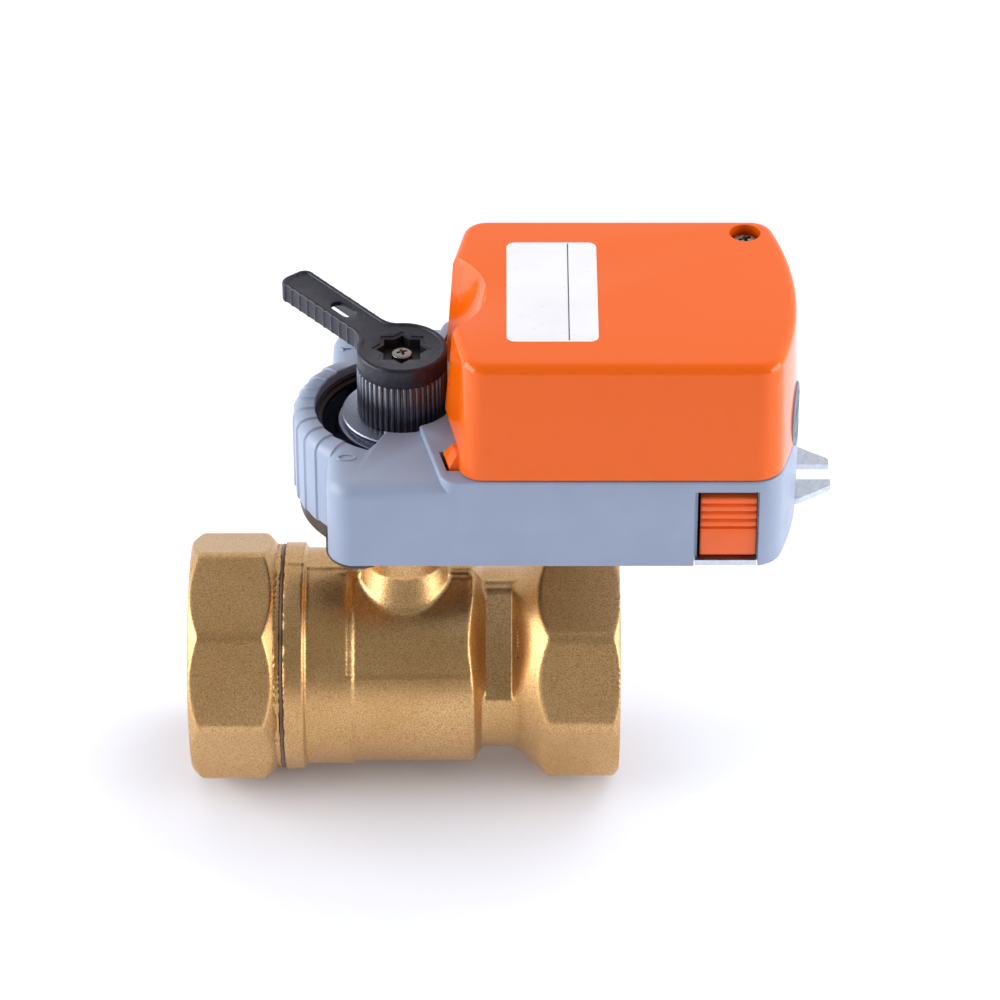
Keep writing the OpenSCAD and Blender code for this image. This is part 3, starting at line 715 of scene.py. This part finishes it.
def housing():
    """The housing's shell with its deck and nose, and what is cut through its walls."""
    body = shell("moulded_housing", block_outline,
                 [(BASE_Z, 0.3), (BASE_Z + 0.1, 0.1), (BASE_Z + 0.3, 0.0)]
                 + rounded_edge(PLATEAU_Z, 0, EDGE_R, steps=8))
    deck = shell("deck", deck_outline, [(BASE_Z + 9, 0.0)] + rounded_edge(DECK_Z, 0, 0.55, steps=4))
    fuse(body, deck)
    inner = prism("inner", block_outline(WALL), BASE_Z - 1, PLATEAU_Z - WALL)
    cut(body, inner, cylinder("inner_nose", (0, 0), OPEN_R + NOSE_WALL, BASE_Z - 1,
                              PLATEAU_Z - WALL - 0.01, 96))
    fuse(body, nose())
    cut(body, prism("opening", dial_opening(), PLATEAU_Z - 4, DECK_Z + 3))
    for sign in (1, -1):
        cut(body, prism("hook_slot", slanted(sign, 9.2, 14.0, 3.7), PLATEAU_Z - 4, DECK_Z + 1))
    cut(body, box("window", (WINDOW_LEFT, -HALF_WIDTH - 1, BASE_Z - 1),
                  (WINDOW_RIGHT, -HALF_WIDTH + WALL + 1.2, WINDOW_TOP)), window_frame())
    fork_half = 10.8
    cut(body, box("fork_recess", (HOUSING_RIGHT - 3.4, -fork_half, BASE_Z - 1),
                  (HOUSING_RIGHT + 3, fork_half, BASE_Z + 2.8)))
    cut(body, cable_way("housing_entry"))
    tidy(body, merge=0.01)
    bevel(body, 0.14, 2, 40)
    join(body, digit_nought(), digit_one())
    place(tidy(body, 38), "valve", "housing_grey", "housing")


def window_frame():
    """The bevel round the button's window."""
    wide = rectangle(WINDOW_LEFT - 0.35, WINDOW_RIGHT + 0.5, BASE_Z - 1, WINDOW_TOP + 0.3)
    tight = rectangle(WINDOW_LEFT + 0.05, WINDOW_RIGHT - 0.05, BASE_Z - 1, WINDOW_TOP - 0.05)
    levels = ((-HALF_WIDTH - 0.05, wide), (-HALF_WIDTH + 0.75, tight))
    return loft("window_bevel", [[(x, y, z) for x, z in outline] for y, outline in levels])


def rails():
    """Thin guide ribs inside the button's window, which the button slides between."""
    left, right = (
        box("window_guide", (x0, -HALF_WIDTH + 1.6, BASE_Z + 1.6), (x1, -HALF_WIDTH + 9, WINDOW_TOP))
        for x0, x1 in ((WINDOW_LEFT + 0.05, WINDOW_LEFT + 0.7), (WINDOW_RIGHT - 0.3, WINDOW_RIGHT - 0.05)))
    place(tidy(join(left, right)), "valve", "housing_grey")


# ---------- cover

RIDGE_H = 4.6
COVER_LEFT = 7.4
COVER_GAP = 0.3
END_DRAFT, SIDE_DRAFT = 1.2, 2.4
SCALLOP_LOW_R, SCALLOP_TOP_R = 13.4, 18.8
SCREW_AT = (76.6, 24.4)


def cover_lean(z):
    """How far the middle of the left face is set back below its ridge."""
    return 3.0 * max(0.0, 1 - z / RIDGE_H)


def cover_outline(z, inset):
    """The cover's walls at a height above the deck, leaning in towards the top."""
    share = z / COVER_H
    half = HALF_WIDTH - COVER_GAP - SIDE_DRAFT * share
    left, slope = COVER_LEFT + END_DRAFT * share, 0.19
    face = [(left + cover_lean(z) * held + slope * y + inset * math.hypot(1, slope), y)
            for y, held in ((0, 1), (8, 1), (16, 1), (20.5, 0.9), (23.5, 0.35))]
    end = end_arc(HOUSING_RIGHT - 0.2 - END_DRAFT * share, half, END_CORNER - 1.5 * share, inset)
    return slant_block(face, left, slope, half, 5.5, inset, 12, end)


def cover_body(name, foot, inset, top, edge):
    """A block of the cover's form, from its foot's steps of (z, inset) to a rounded top edge."""
    steps = foot + [(z, inset) for z in (3.4, 4.1, RIDGE_H, 5.2, 6.2, 12.0)]
    steps += [(z, inset + extra) for z, extra in rounded_edge(top, 0, edge, steps=8)]
    return stack(name, [(DECK_Z + z, cover_outline(z, i)) for z, i in steps])


def scallop(name, more=0.0):
    """The cone about the stem that leaves room for the handle in the cover's left face."""
    slope = (SCALLOP_TOP_R - SCALLOP_LOW_R) / COVER_H
    return cylinder(name, (0, 0), SCALLOP_LOW_R + more - slope, DECK_Z - 1, COVER_TOP + 1, 144,
                    SCALLOP_TOP_R + more + slope)


def hook(sign):
    """The snap hook that drops into the housing's slot."""
    low = slanted(sign, 10.0, 13.6, 3.0)
    peak = slanted(sign, 11.8, 14.6, 2.2)
    return stack("hook", [(DECK_Z - 1.6, low), (DECK_Z + 0.2, low), (DECK_Z + 3.0, peak)])


def cover():
    """The hollow cover, with a shadow groove round its foot."""
    foot = [(0.0, 0.9), (0.3, 0.9), (0.32, 0.12), (0.45, 0.0)]
    body = cover_body("glossy_cover", foot, 0.0, COVER_H, 2.1)
    fuse(body, hook(-1), hook(1))
    cut(body, scallop("scallop"))
    tidy(body, merge=0.01)
    bevel(body, 0.7, 3, 42)
    cavity = cover_body("cavity", [(-1.0, WALL)], WALL, COVER_H - WALL, 1.2)
    cut(cavity, scallop("inner_scallop", WALL), cylinder("post", SCREW_AT, 4.4, DECK_Z - 2, COVER_TOP + 2))
    cut(body, cavity)
    cut(body, cylinder("recess", SCREW_AT, 3.5, COVER_TOP - 3.4, COVER_TOP + 2, 64),
        cylinder("screw_way", SCREW_AT, 2.1, DECK_Z - 2, COVER_TOP))
    cut(body, cable_way("cover_entry"))
    place(tidy(body, 30), "valve", "cover_orange", "cover")


# ---------- handle, sleeve and hub

LEVER_LEN = 39.5
LEVER_HALF = 4.2
HUB_R = 10.1
GRIP_PITCH = 2.9
BORDER, SOCKET, SOCKET_TURN = 9.6, 8.25, 5.0
SOCKET_FLOOR = SLEEVE_TOP + 1.8


def handle_outline(inset, grip):
    """The lever along +X from its round hub, with flat facets and thin ridges along its sides."""
    neck = 4.0
    cx = math.sqrt((HUB_R + neck) ** 2 - (LEVER_HALF + neck) ** 2)
    turn = math.degrees(math.atan2(LEVER_HALF + neck, cx))
    half, tip = LEVER_HALF - inset, 2.6
    upper = arc((cx, LEVER_HALF + neck), neck + inset, 270, 180 + turn, 8)
    count = 110
    edge = []
    for i in range(count + 1):
        x = cx + 0.6 + (LEVER_LEN - tip - cx - 0.9) * (1 - i / count)
        wave = abs(math.sin(math.pi * (x - cx) / GRIP_PITCH))
        edge.append((x, half - grip * (1 - (1 - wave) ** 3)))
    end = arc((LEVER_LEN - tip, half + inset - tip), tip - inset, 0, 90, 8)
    top = end + edge + upper
    hub = arc((0, 0), HUB_R - inset, turn, 360 - turn, 72)[1:-1]
    bottom = [(x, -y) for x, y in reversed(top)]
    return top + hub + bottom


def star(side, turn):
    """An eight-pointed star from two squares, going round anticlockwise."""
    outer = side / math.sqrt(2)
    inner = side / 2 / math.cos(math.radians(22.5))
    return [polar(outer if i % 2 == 0 else inner, turn + 22.5 * i) for i in range(16)]


def handle():
    """The lever: ridged sides, a raised rim, a slot, a hollow under it and a star socket."""
    low, high = SLEEVE_TOP, HANDLE_TOP
    steps = ((low, 0.35, 0.2), (low + 0.35, 0, 0.3), (low + 2.5, 0, 0.3), (high - 0.6, 0, 0.3),
             (high - 0.4, 0.06, 0.24), (high - 0.1, 0.34, 0.1), (high, 0.6, 0), (high, 1.05, 0),
             (high - 0.12, 1.15, 0), (high - 0.4, 1.3, 0))
    body = stack("lever_handle", [(z, handle_outline(inset, grip)) for z, inset, grip in steps])
    cut(body, prism("slot", long_hole(18.9, 22.6, 1.75), low - 1, high + 1))
    cut(body, prism("under", long_hole(17.3, 33.2, 3.25), low - 1, low + 3.4))
    cut(body, prism("border", star(BORDER, SOCKET_TURN), high - 0.75, high + 1))
    cut(body, prism("socket", star(SOCKET, SOCKET_TURN), SOCKET_FLOOR, high + 1))
    cut(body, cylinder("screw_way", (0, 0), 1.7, low - 1, high))
    tidy(body, merge=0.005)
    bevel(body, 0.16, 2, 40)
    move(body, turned(LEVER))
    place(tidy(body, 35), "output", "handle_black", "handle")


def socket_shade_lining():
    """A dark matte lining over the handle's star socket: painted shade for the inside of the deep socket."""
    low, high = SOCKET_FLOOR, HANDLE_TOP - 0.8
    shade_lining = prism("socket_shade_lining", star(SOCKET, SOCKET_TURN), low + 0.01, high)
    cut(shade_lining, prism("hollow", star(SOCKET - 0.2, SOCKET_TURN), low + 0.08, high + 1),
        cylinder("screw_way", (0, 0), 2.6, low - 1, high))
    move(shade_lining, turned(LEVER))
    # The black finish on this lining is painted shade, standing in for the dark of the deep socket.
    place(tidy(shade_lining, 20), "output", "ring_black")


def fluted_sleeve():
    """The clamp sleeve: flutes down its side, and a square hole for the stem."""
    flutes, points, square = 44, [], 3.65
    section = ((0.0, 9.52), (0.16, 9.54), (0.3, 9.92), (0.38, 10.06), (0.5, 10.1), (0.62, 10.1),
               (0.74, 10.06), (0.82, 9.92), (0.94, 9.54))
    for i in range(flutes):
        points += [(360 * (i + share) / flutes, r) for share, r in section]
    steps = ((HUB_TOP, 0.35), (HUB_TOP + 0.4, 0.0), (SLEEVE_TOP - 0.25, 0.0), (SLEEVE_TOP, 0.25))
    body = shell("fluted_clamp_sleeve", lambda inset: [polar(r - inset, a) for a, r in points], steps)
    hole = box("square", (-square, -square, HUB_TOP - 1), (square, square, SLEEVE_TOP + 1))
    cut(body, move(hole, turned(LEVER)))
    place(tidy(body, 45), "output", "sleeve_grey", "fluted_sleeve")


def hub():
    """The turned hub: two rims with a groove between them, and a small pointer fin."""
    low, bore = span("hub", Z)[0], 6.15
    rims = [(9.4, 4.6), (13.9, 3.9), (14.35, 3.5), (14.5, 3.2), (14.5, 2.5), (14.3, 2.2), (13.0, 2.1),
            (12.9, 1.9), (12.9, 1.5), (13.0, 1.3), (13.5, 1.25), (13.6, 1.0), (13.6, 0.35), (13.35, 0.1),
            (bore, 0.1)]
    profile = [(bore, low), (9.4, low)] + [(r, HUB_TOP - below) for r, below in rims]
    body = revolve("turned_hub", profile, 160)
    fin = [(9.9, -1.1, 0), (13.2, -0.5, 0), (13.2, 0.5, 0), (9.9, 1.1, 0)]
    top = [(9.9, -0.6, 3.6), (11.4, -0.25, 2.9), (11.4, 0.25, 2.9), (9.9, 0.6, 3.6)]
    rings = [[(x, y, HUB_TOP - 0.3 + z) for x, y, z in ring] for ring in (fin, top)]
    pointer = move(loft("fin", rings), turned(LEVER + 4))
    join(body, pointer)
    place(tidy(body, 35), "output", "hub_metal", "hub")


def dial_ring():
    """The black ring just under the dial's opening, with a stepped inner edge."""
    low, high = HUB_TOP - 3, HUB_TOP - 0.75
    profile = [(18.1, low), (21.0, low), (21.0, high), (19.2, high), (19.0, high - 0.25), (19.0, high - 0.9),
               (18.3, high - 1.0), (18.1, high - 1.2)]
    body = revolve("dial_seal_ring", profile, 144)
    place(tidy(body), "valve", "ring_black", "dial_ring")


# ---------- screws, button, grommet, label

def cross_screw(name, centre, head_z, head_r, head_h, shank_r, shank_len):
    """A pan-head screw whose head's underside is at head_z, with a cross recess."""
    dome = [(head_r * math.cos(a), head_z + head_h * (0.75 + 0.25 * math.sin(a)))
            for a in (math.pi / 2 * i / 8 for i in range(8))]
    profile = [(0.001, head_z - shank_len), (shank_r, head_z - shank_len), (shank_r, head_z),
               (head_r - 0.12, head_z), (head_r, head_z + 0.12)] + dome + [(0.001, head_z + head_h)]
    body = revolve(name, profile, 48)
    move(body, shifted(*centre, 0))
    wing, thick = head_r * 0.62, head_r * 0.13
    narrow = rectangle(-wing * 0.35, wing * 0.35, -thick, thick)
    wide = rectangle(-wing, wing, -thick * 1.2, thick * 1.2)
    top = head_z + head_h
    for turn in (20, 110):
        slot = stack("slot", [(top - head_h * 0.75, narrow), (top + 0.3, wide)])
        cut(body, move(slot, shifted(*centre, 0) @ turned(turn)))
    return tidy(body, 35)


def screws():
    """The screw in the handle's socket, and the one in the cover's corner."""
    for node, name, body, centre, head_r, head_h, shank_r, shank_len in (
            ("handle_screw", "handle_cross_screw", "output", (0, 0), 2.3, 1.8, 1.48, 8),
            ("cover_screw", "cover_cross_screw", "valve", SCREW_AT, 2.7, 2.1, 1.65, 34)):
        head_z = span(node, Z)[1] - head_h
        screw = cross_screw(name, centre, head_z, head_r, head_h, shank_r, shank_len)
        place(screw, body, "screw_steel", node)


PLUG_R = 6.15
LIP_R = 7.2


def grommet_place():
    """Puts z = 0 on the grommet's outer face, with +z out of the end wall."""
    mount = {made["name"]: made for made in frame["record"]["mounts"]}["cable_entry"]
    centre = (Vector(mount["pos_m"]) - STEM) / MM
    turn = math.atan2(mount["axis"][1], mount["axis"][0])
    out = Matrix.Rotation(turn, 4, "Z") @ Matrix.Rotation(math.radians(90), 4, "Y")
    return Matrix.Translation(centre) @ out


def cable_way(name):
    """The hole through the wall that the grommet's plug fills."""
    plug = cylinder(name, (0, 0), PLUG_R + 0.05, -4.0, 2, 64)
    lip = cylinder("step", (0, 0), LIP_R + 0.05, -1.05, 3, 64)
    return move(fuse(plug, lip), grommet_place())


def cable_grommet():
    """A moulded rubber grommet: a lip in the wall, a groove round its face and the cable's hole."""
    profile = [(3.0, -2.82), (6.1, -2.82), (PLUG_R, -0.98), (7.05, -0.95), (LIP_R, -0.75), (LIP_R, -0.35),
               (7.0, -0.08), (6.6, 0.0), (5.6, 0.0), (5.35, -0.3), (4.6, -0.3), (4.35, 0.0), (3.4, 0.0),
               (3.05, -0.25)]
    body = revolve("rubber_grommet", profile, 96)
    move(body, grommet_place())
    place(tidy(body, 40), "valve", "grommet_grey", "cable_grommet")


def release_button():
    """A push button: four moulded grip ribs above a smooth thumb face."""
    (x0, x1), (face, back), (z0, z1) = (span("release_button", axis) for axis in (X, Y, Z))
    middle = z0 + 7.4
    profile = [(back, z0), (face + 0.9, z0), (face + 0.35, z0 + 0.2), (face + 0.12, z0 + 0.7),
               (face, middle - 0.5), (face + 0.1, middle - 0.12), (face + 0.55, middle)]
    ribs = 4
    pitch = (z1 - middle) / ribs
    for i in range(ribs):
        start = middle + pitch * i + 0.22
        crest = ((0.0, 0.75), (0.12, 0.3), (0.35, 0.06), (0.6, 0.0), (0.85, 0.1), (0.98, 0.4))
        profile += [(face + depth, start + share * (pitch - 0.25)) for share, depth in crest]
    profile += [(face + 1.0, z1 - 0.02), (back, z1)]
    steps = ((x0, 0.3), (x0 + 0.25, 0.05), (x0 + 0.6, 0.0), (x1 - 0.6, 0.0), (x1 - 0.25, 0.05), (x1, 0.3))
    rings = [[(x, min(back, y + pull), min(max(z, z0 + pull * 0.6), z1 - pull * 0.6))
              for y, z in profile] for x, pull in steps]
    body = loft("ribbed_release_button", rings)
    place(tidy(body, 30, merge=0.002), "button", "button_orange", "release_button")


def label():
    """A blank film with round corners, and the one line printed across it."""
    (x0, x1), (y0, y1), (z0, z1) = (span("label", axis) for axis in (X, Y, Z))
    body = shell("blank_label", lambda inset: rounded_rectangle(x0, x1, y0, y1, 2.0, inset),
                 [(z0 + 0.01, 0), (z1 - 0.04, 0), (z1 - 0.02, 0.04)])
    place(tidy(body), "valve", "label_white", "label")
    line_x = x0 + (x1 - x0) * 0.68
    line = box("label_rule", (line_x - 0.13, y0 + 0.5, z1 - 0.04), (line_x + 0.13, y1 - 0.5, z1))
    place(tidy(line), "valve", "label_white", finish="ink")


def adapter():
    """The dark plastic adapter between the valve's flange and the housing."""
    low, high = span("adapter", Z)
    disc_r, lug_r, lug_x, lug_y, bore_r = 23.5, 7.3, 9.7, 21.0, 9.9
    steps = [(low, 0.6)] + rounded_edge(low, 0, 0.6, False, 4)[1:] + [(high - 0.02, 0.0)]
    body = shell("moulded_adapter", lambda inset: arc((0, 0), disc_r - inset, 0, 357.5, 143), steps)
    steps = [(low + 0.02, 0.8), (low + 0.3, 0.25), (low + 0.8, 0), (high - 0.03, 0)]
    for sign in (1, -1):
        centre = (lug_x * sign, lug_y * sign)
        fuse(body, shell("lug", lambda inset: arc(centre, lug_r - inset, 0, 350, 35), steps))
    cut(body, cylinder("bore", (0, 0), bore_r, low - 1, high + 1, 64))
    place(tidy(body, 35, merge=0.005), "valve", "adapter_plastic", "adapter")


# ---------- materials

class Finish:
    """A material being built round one Principled shader."""

    def __init__(self, name, colour, roughness, metallic=0.0, **values):
        self.material = bpy.data.materials.new(name)
        self.material.use_nodes = True
        self.tree = self.material.node_tree
        self.shader = self.tree.nodes["Principled BSDF"]
        self.set("Base Color", (*colour, 1.0))
        self.set("Roughness", roughness)
        self.set("Metallic", metallic)
        for socket, value in values.items():
            self.set(socket.replace("_", " "), value)
        self.colour = colour
        self.place = self.node("ShaderNodeTexCoord").outputs["Object"]
        self.height = None

    def set(self, socket, value):
        self.shader.inputs[socket].default_value = value

    def node(self, kind, **values):
        made = self.tree.nodes.new(kind)
        for key, value in values.items():
            if key in made.inputs:
                made.inputs[key].default_value = value
            else:
                setattr(made, key, value)
        return made

    def link(self, start, end):
        self.tree.links.new(start, end)

    def noise(self, scale, detail, squeeze=None):
        """A noise's value at so many features a metre, times the squeeze along each axis."""
        made = self.node("ShaderNodeTexNoise", Scale=scale, Detail=detail)
        start = self.place
        if squeeze:
            mapping = self.node("ShaderNodeMapping", Scale=squeeze)
            self.link(start, mapping.inputs["Vector"])
            start = mapping.outputs["Vector"]
        self.link(start, made.inputs["Vector"])
        return made.outputs["Fac"]

    def cells(self, scale):
        """A pattern of cells, so many a metre."""
        made = self.node("ShaderNodeTexVoronoi", Scale=scale)
        self.link(self.place, made.inputs["Vector"])
        return made

    def between(self, value, low, high, start=0.3, end=0.7):
        """Maps a value onto a range."""
        made = self.node("ShaderNodeMapRange")
        for socket, number in (("From Min", start), ("From Max", end), ("To Min", low), ("To Max", high)):
            made.inputs[socket].default_value = number
        self.link(value, made.inputs["Value"])
        return made.outputs["Result"]

    def tint(self, value, other, start=0.3, end=0.7):
        """Mixes the base colour towards another by a value."""
        made = self.node("ShaderNodeMix", data_type="RGBA")
        self.link(self.between(value, 0.0, 1.0, start, end), made.inputs["Factor"])
        previous = self.shader.inputs["Base Color"]
        if previous.links:
            self.link(previous.links[0].from_socket, made.inputs[6])
        else:
            made.inputs[6].default_value = (*self.colour, 1.0)
        made.inputs[7].default_value = (*other, 1.0)
        self.link(made.outputs[2], self.shader.inputs["Base Color"])

    def rough(self, value, low, high):
        self.link(self.between(value, low, high), self.shader.inputs["Roughness"])

    def bump(self, value, strength, distance):
        """Adds relief, in millimetres, on top of any before it."""
        made = self.node("ShaderNodeBump", Strength=strength, Distance=distance * MM)
        self.link(value, made.inputs["Height"])
        if self.height:
            self.link(self.height, made.inputs["Normal"])
        self.height = made.outputs["Normal"]
        self.link(self.height, self.shader.inputs["Normal"])


def colour(red, green, blue):
    """A colour given as it looks on a screen, 0 to 255, as the linear values that a shader takes."""
    made = []
    for part in (red, green, blue):
        share = part / 255
        made.append(share / 12.92 if share <= 0.04045 else ((share + 0.055) / 1.055) ** 2.4)
    return tuple(made)


def moulded(name, tone, roughness, grain=0.02):
    """Moulded plastic: a faint flow in its colour and a fine skin."""
    made = Finish(name, tone, roughness)
    cloud = made.noise(90, 2)
    made.tint(cloud, tuple(c * 0.93 for c in tone), 0.35, 0.75)
    made.rough(made.noise(260, 4), roughness * 0.88, roughness * 1.15)
    made.bump(made.noise(1500, 3), 0.5, grain)
    return made.material


def metal(name, tone, roughness, grain=0.01, squeeze=None, scale=900):
    """Turned, drawn or plated metal with fine marks, closer together along an axis if asked."""
    made = Finish(name, tone, roughness, 1.0)
    marks = made.noise(scale, 4, squeeze)
    made.tint(marks, tuple(c * 0.82 for c in tone))
    made.rough(marks, roughness * 0.8, roughness * 1.25)
    made.bump(marks, 0.4, grain)
    return made.material


def forged_brass():
    """Brass as forged and blasted: cloudy, with a fine pitted skin."""
    made = Finish("forged_brass", colour(218, 178, 126), 0.42, 1.0)
    made.tint(made.noise(55, 4), colour(204, 162, 108), 0.35, 0.7)
    made.tint(made.noise(3200, 2), colour(178, 136, 84), 0.42, 0.66)
    made.rough(made.noise(2600, 2), 0.29, 0.45)
    made.bump(made.noise(420, 3), 0.35, 0.05)
    made.bump(made.noise(2300, 2), 0.62, 0.06)
    return made.material


def galvanised():
    """Zinc-plated steel, whose flakes differ a little in tone and gloss."""
    made = Finish("galvanised_plate", colour(205, 212, 222), 0.32, 1.0)
    flake = made.node("ShaderNodeSeparateColor")
    made.link(made.cells(1300).outputs["Color"], flake.inputs["Color"])
    made.tint(flake.outputs["Red"], colour(192, 199, 210), 0.1, 0.9)
    made.rough(flake.outputs["Green"], 0.3, 0.4)
    made.bump(made.noise(1800, 2), 0.3, 0.008)
    return made.material


def glossy_orange():
    """Glossy moulded plastic: even in colour but for faint specks, with a shallow ripple."""
    tone, roughness = colour(226, 93, 2), 0.11
    made = Finish("cover_orange", tone, roughness, Specular_IOR_Level=0.38)
    made.tint(made.noise(60, 2), tuple(c * 0.95 for c in tone), 0.35, 0.7)
    made.tint(made.cells(420).outputs["Distance"], tone, 0.04, 0.05)
    made.rough(made.noise(700, 3), roughness * 0.85, roughness * 1.2)
    made.bump(made.noise(150, 2), 0.12, 0.03)
    return made.material


def handle_plastic():
    """Black plastic, moulded satin, with fine scuffs."""
    made = Finish("handle_plastic", colour(28, 28, 40), 0.42, Specular_IOR_Level=0.35)
    made.tint(made.noise(1200, 4), colour(46, 46, 62), 0.5, 0.75)
    made.rough(made.noise(300, 4), 0.28, 0.45)
    made.bump(made.noise(1800, 3), 0.5, 0.025)
    return made.material


# Each slot's colour as it looks on a screen, its roughness, and its relief in millimetres
PLASTICS = {
    "sealant": ((112, 86, 66), 0.5),
    "ptfe": ((238, 238, 232), 0.35),
    "seal_rubber": ((28, 28, 28), 0.6),
    "adapter_plastic": ((44, 40, 42), 0.38),
    "bush_plastic": ((214, 202, 170), 0.45),
    "housing_grey": ((140, 152, 175), 0.4, 0.012),
    "ring_black": ((26, 26, 30), 0.45),
    "label_white": ((228, 228, 233), 0.3, 0.004),
    "ink": ((70, 70, 78), 0.4, 0.002),
    "grommet_grey": ((104, 112, 126), 0.5),
    "button_orange": ((232, 94, 22), 0.32, 0.012),
    "gear_plastic": ((232, 228, 212), 0.42),
    "sensor_blue": ((50, 84, 130), 0.4),
    "board_green": ((24, 104, 56), 0.3),
    "terminal_green": ((40, 130, 74), 0.42),
    "capacitor_sleeve": ((34, 36, 82), 0.25),
    "relay_blue": ((40, 88, 160), 0.4),
    "chip_black": ((30, 30, 32), 0.5),
}
# The same, then how closely the marks are squeezed along each axis, and how many are in a metre
METALS = {
    "ball_chrome": ((214, 216, 220), 0.08, 0.002),
    "stem_steel": ((196, 198, 202), 0.25, 0.01, (1, 1, 12)),
    # screw_steel's tone is darker than bare steel: painted shade for the screw sitting deep in the handle's
    # socket.
    "screw_steel": ((150, 146, 142), 0.24),
    "hub_metal": ((176, 180, 200), 0.36, 0.02, None, 1600),
    "gear_steel": ((132, 134, 140), 0.4),
    "sleeve_grey": ((104, 106, 114), 0.38, 0.02, None, 1500),
    "spring_steel": ((196, 198, 202), 0.3),
    "motor_steel": ((188, 190, 194), 0.28, 0.01, (1, 1, 10)),
    "pinion_brass": ((206, 170, 96), 0.3),
}


def finishes():
    """A material for every slot of the record, and the ink."""
    made = {"brass": forged_brass(), "plate_steel": galvanised(), "handle_black": handle_plastic(),
            "cover_orange": glossy_orange()}
    for slot, (tone, *rest) in PLASTICS.items():
        made[slot] = moulded(slot, colour(*tone), *rest)
    for slot, (tone, *rest) in METALS.items():
        made[slot] = metal(slot, colour(*tone), *rest)
    return made


def dress_cad_nodes():
    """Every CAD node gets its own slot's finish, and smooth shading away from its edges."""
    slots = {part["node"]: part["material_slot"] for part in frame["record"]["subparts"]}
    for name, obj in NODES.items():
        obj.data.materials.clear()
        obj.data.materials.append(LOOKS[slots[name]])
        smooth(obj.data, 30)


# ---------- stage, light and camera

def stage():
    """A pale floor that the valve's lowest edges touch, and a collection that holds it alone."""
    floor_z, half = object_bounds()[0][2], 3.0
    mesh = bpy.data.meshes.new("floor")
    corners = [(x, y, floor_z) for x, y in rectangle(-half, half, -half, half)]
    mesh.from_pydata(corners, [], [(0, 1, 2, 3)])
    floor = linked("floor", mesh)
    white = Finish("floor_white", (0.8, 0.82, 0.89), 0.7)
    mesh.materials.append(white.material)
    floor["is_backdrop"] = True
    alone = bpy.data.collections.new("floor_only")
    alone.objects.link(floor)
    return alone


def panel(name, place_at, size, radiance):
    """A rectangular lamp of a given radiance, which the camera doesn't see."""
    aim = Vector((0.07, 0.0, 0.04))
    data = bpy.data.lights.new(name, "AREA")
    data.shape = "RECTANGLE"
    data.size, data.size_y = size
    data.energy = radiance * math.pi * size[0] * size[1]
    lamp = linked(name, data)
    lamp.location = place_at
    lamp.rotation_euler = (aim - Vector(place_at)).to_track_quat("-Z", "Y").to_euler()
    lamp.visible_camera = False
    return lamp


def lamps(floor_only):
    """A soft lamp above, one for the floor alone, and a bright wall at each side."""
    above = panel("overhead", (0.55, 0.4, 0.9), (0.8, 0.8), 2.5)
    above.visible_glossy = False
    ahead = panel("floor_fill", (0.07, -0.55, 1.0), (1.3, 1.0), 0.9)
    ahead.visible_glossy = False
    ahead.light_linking.receiver_collection = floor_only
    panel("left_wall", (-0.8, -0.1, 0.28), (1.0, 0.6), 5.8)
    panel("right_wall", (0.98, -0.15, 0.28), (0.9, 0.6), 5.2)


# The studio's tone from the front, 0, to the back, 1
STUDIO = ((0.0, (0.32, 0.32, 0.33)), (0.3, (0.36, 0.36, 0.3672)), (0.6, (0.45, 0.45, 0.459)),
          (0.85, (0.95, 0.95, 0.96)))


def studio():
    """Light from all round, dim in front and bright behind, against a white background."""
    world = bpy.data.worlds.new("studio")
    bpy.context.scene.world = world
    world.use_nodes = True
    tree = world.node_tree
    direction, split, depth, ramp, ray, seen = (tree.nodes.new("ShaderNode" + kind) for kind in (
        "TexCoord", "SeparateXYZ", "MapRange", "ValToRGB", "LightPath", "Mix"))
    depth.inputs["From Min"].default_value = -1.0
    stops = ramp.color_ramp.elements
    stops.remove(stops[1])
    stops[0].color = (*STUDIO[0][1], 1)
    for position, tone in STUDIO[1:]:
        stops.new(position).color = (*tone, 1)
    seen.data_type = "RGBA"
    seen.inputs[7].default_value = (1.0, 1.0, 1.0, 1.0)
    for start, end in ((direction.outputs["Generated"], split.inputs["Vector"]),
                       (split.outputs["Y"], depth.inputs["Value"]),
                       (depth.outputs["Result"], ramp.inputs["Fac"]),
                       (ray.outputs["Is Camera Ray"], seen.inputs["Factor"]),
                       (ramp.outputs["Color"], seen.inputs[6]),
                       (seen.outputs[2], tree.nodes["Background"].inputs["Color"])):
        tree.links.new(start, end)


def camera():
    """The main view: square on to the pipe from 35 degrees above it."""
    elevation, distance = math.radians(35.0), 1.132
    aim = Vector((STEM.x + 21.76 * MM, 0.0, 43.83 * MM))
    back = Vector((0.0, -math.cos(elevation), math.sin(elevation)))
    data = bpy.data.cameras.new("camera")
    data.sensor_width = 36.0
    data.lens = 180.0
    data.clip_end = 20.0
    made = linked("camera", data)
    made.location = aim + back * distance
    made.rotation_euler = (-back).to_track_quat("-Z", "Y").to_euler()
    bpy.context.scene.camera = made


LOOKS = finishes()
camera()
dress_cad_nodes()
for make in (brass_pieces, sealant_bead, adapter, housing, rails, dial_ring, hub, fluted_sleeve, handle,
             socket_shade_lining, cover, screws, cable_grommet, release_button, label):
    make()
lamps(stage())
studio()

bpy.context.scene.view_settings.view_transform = "Standard"
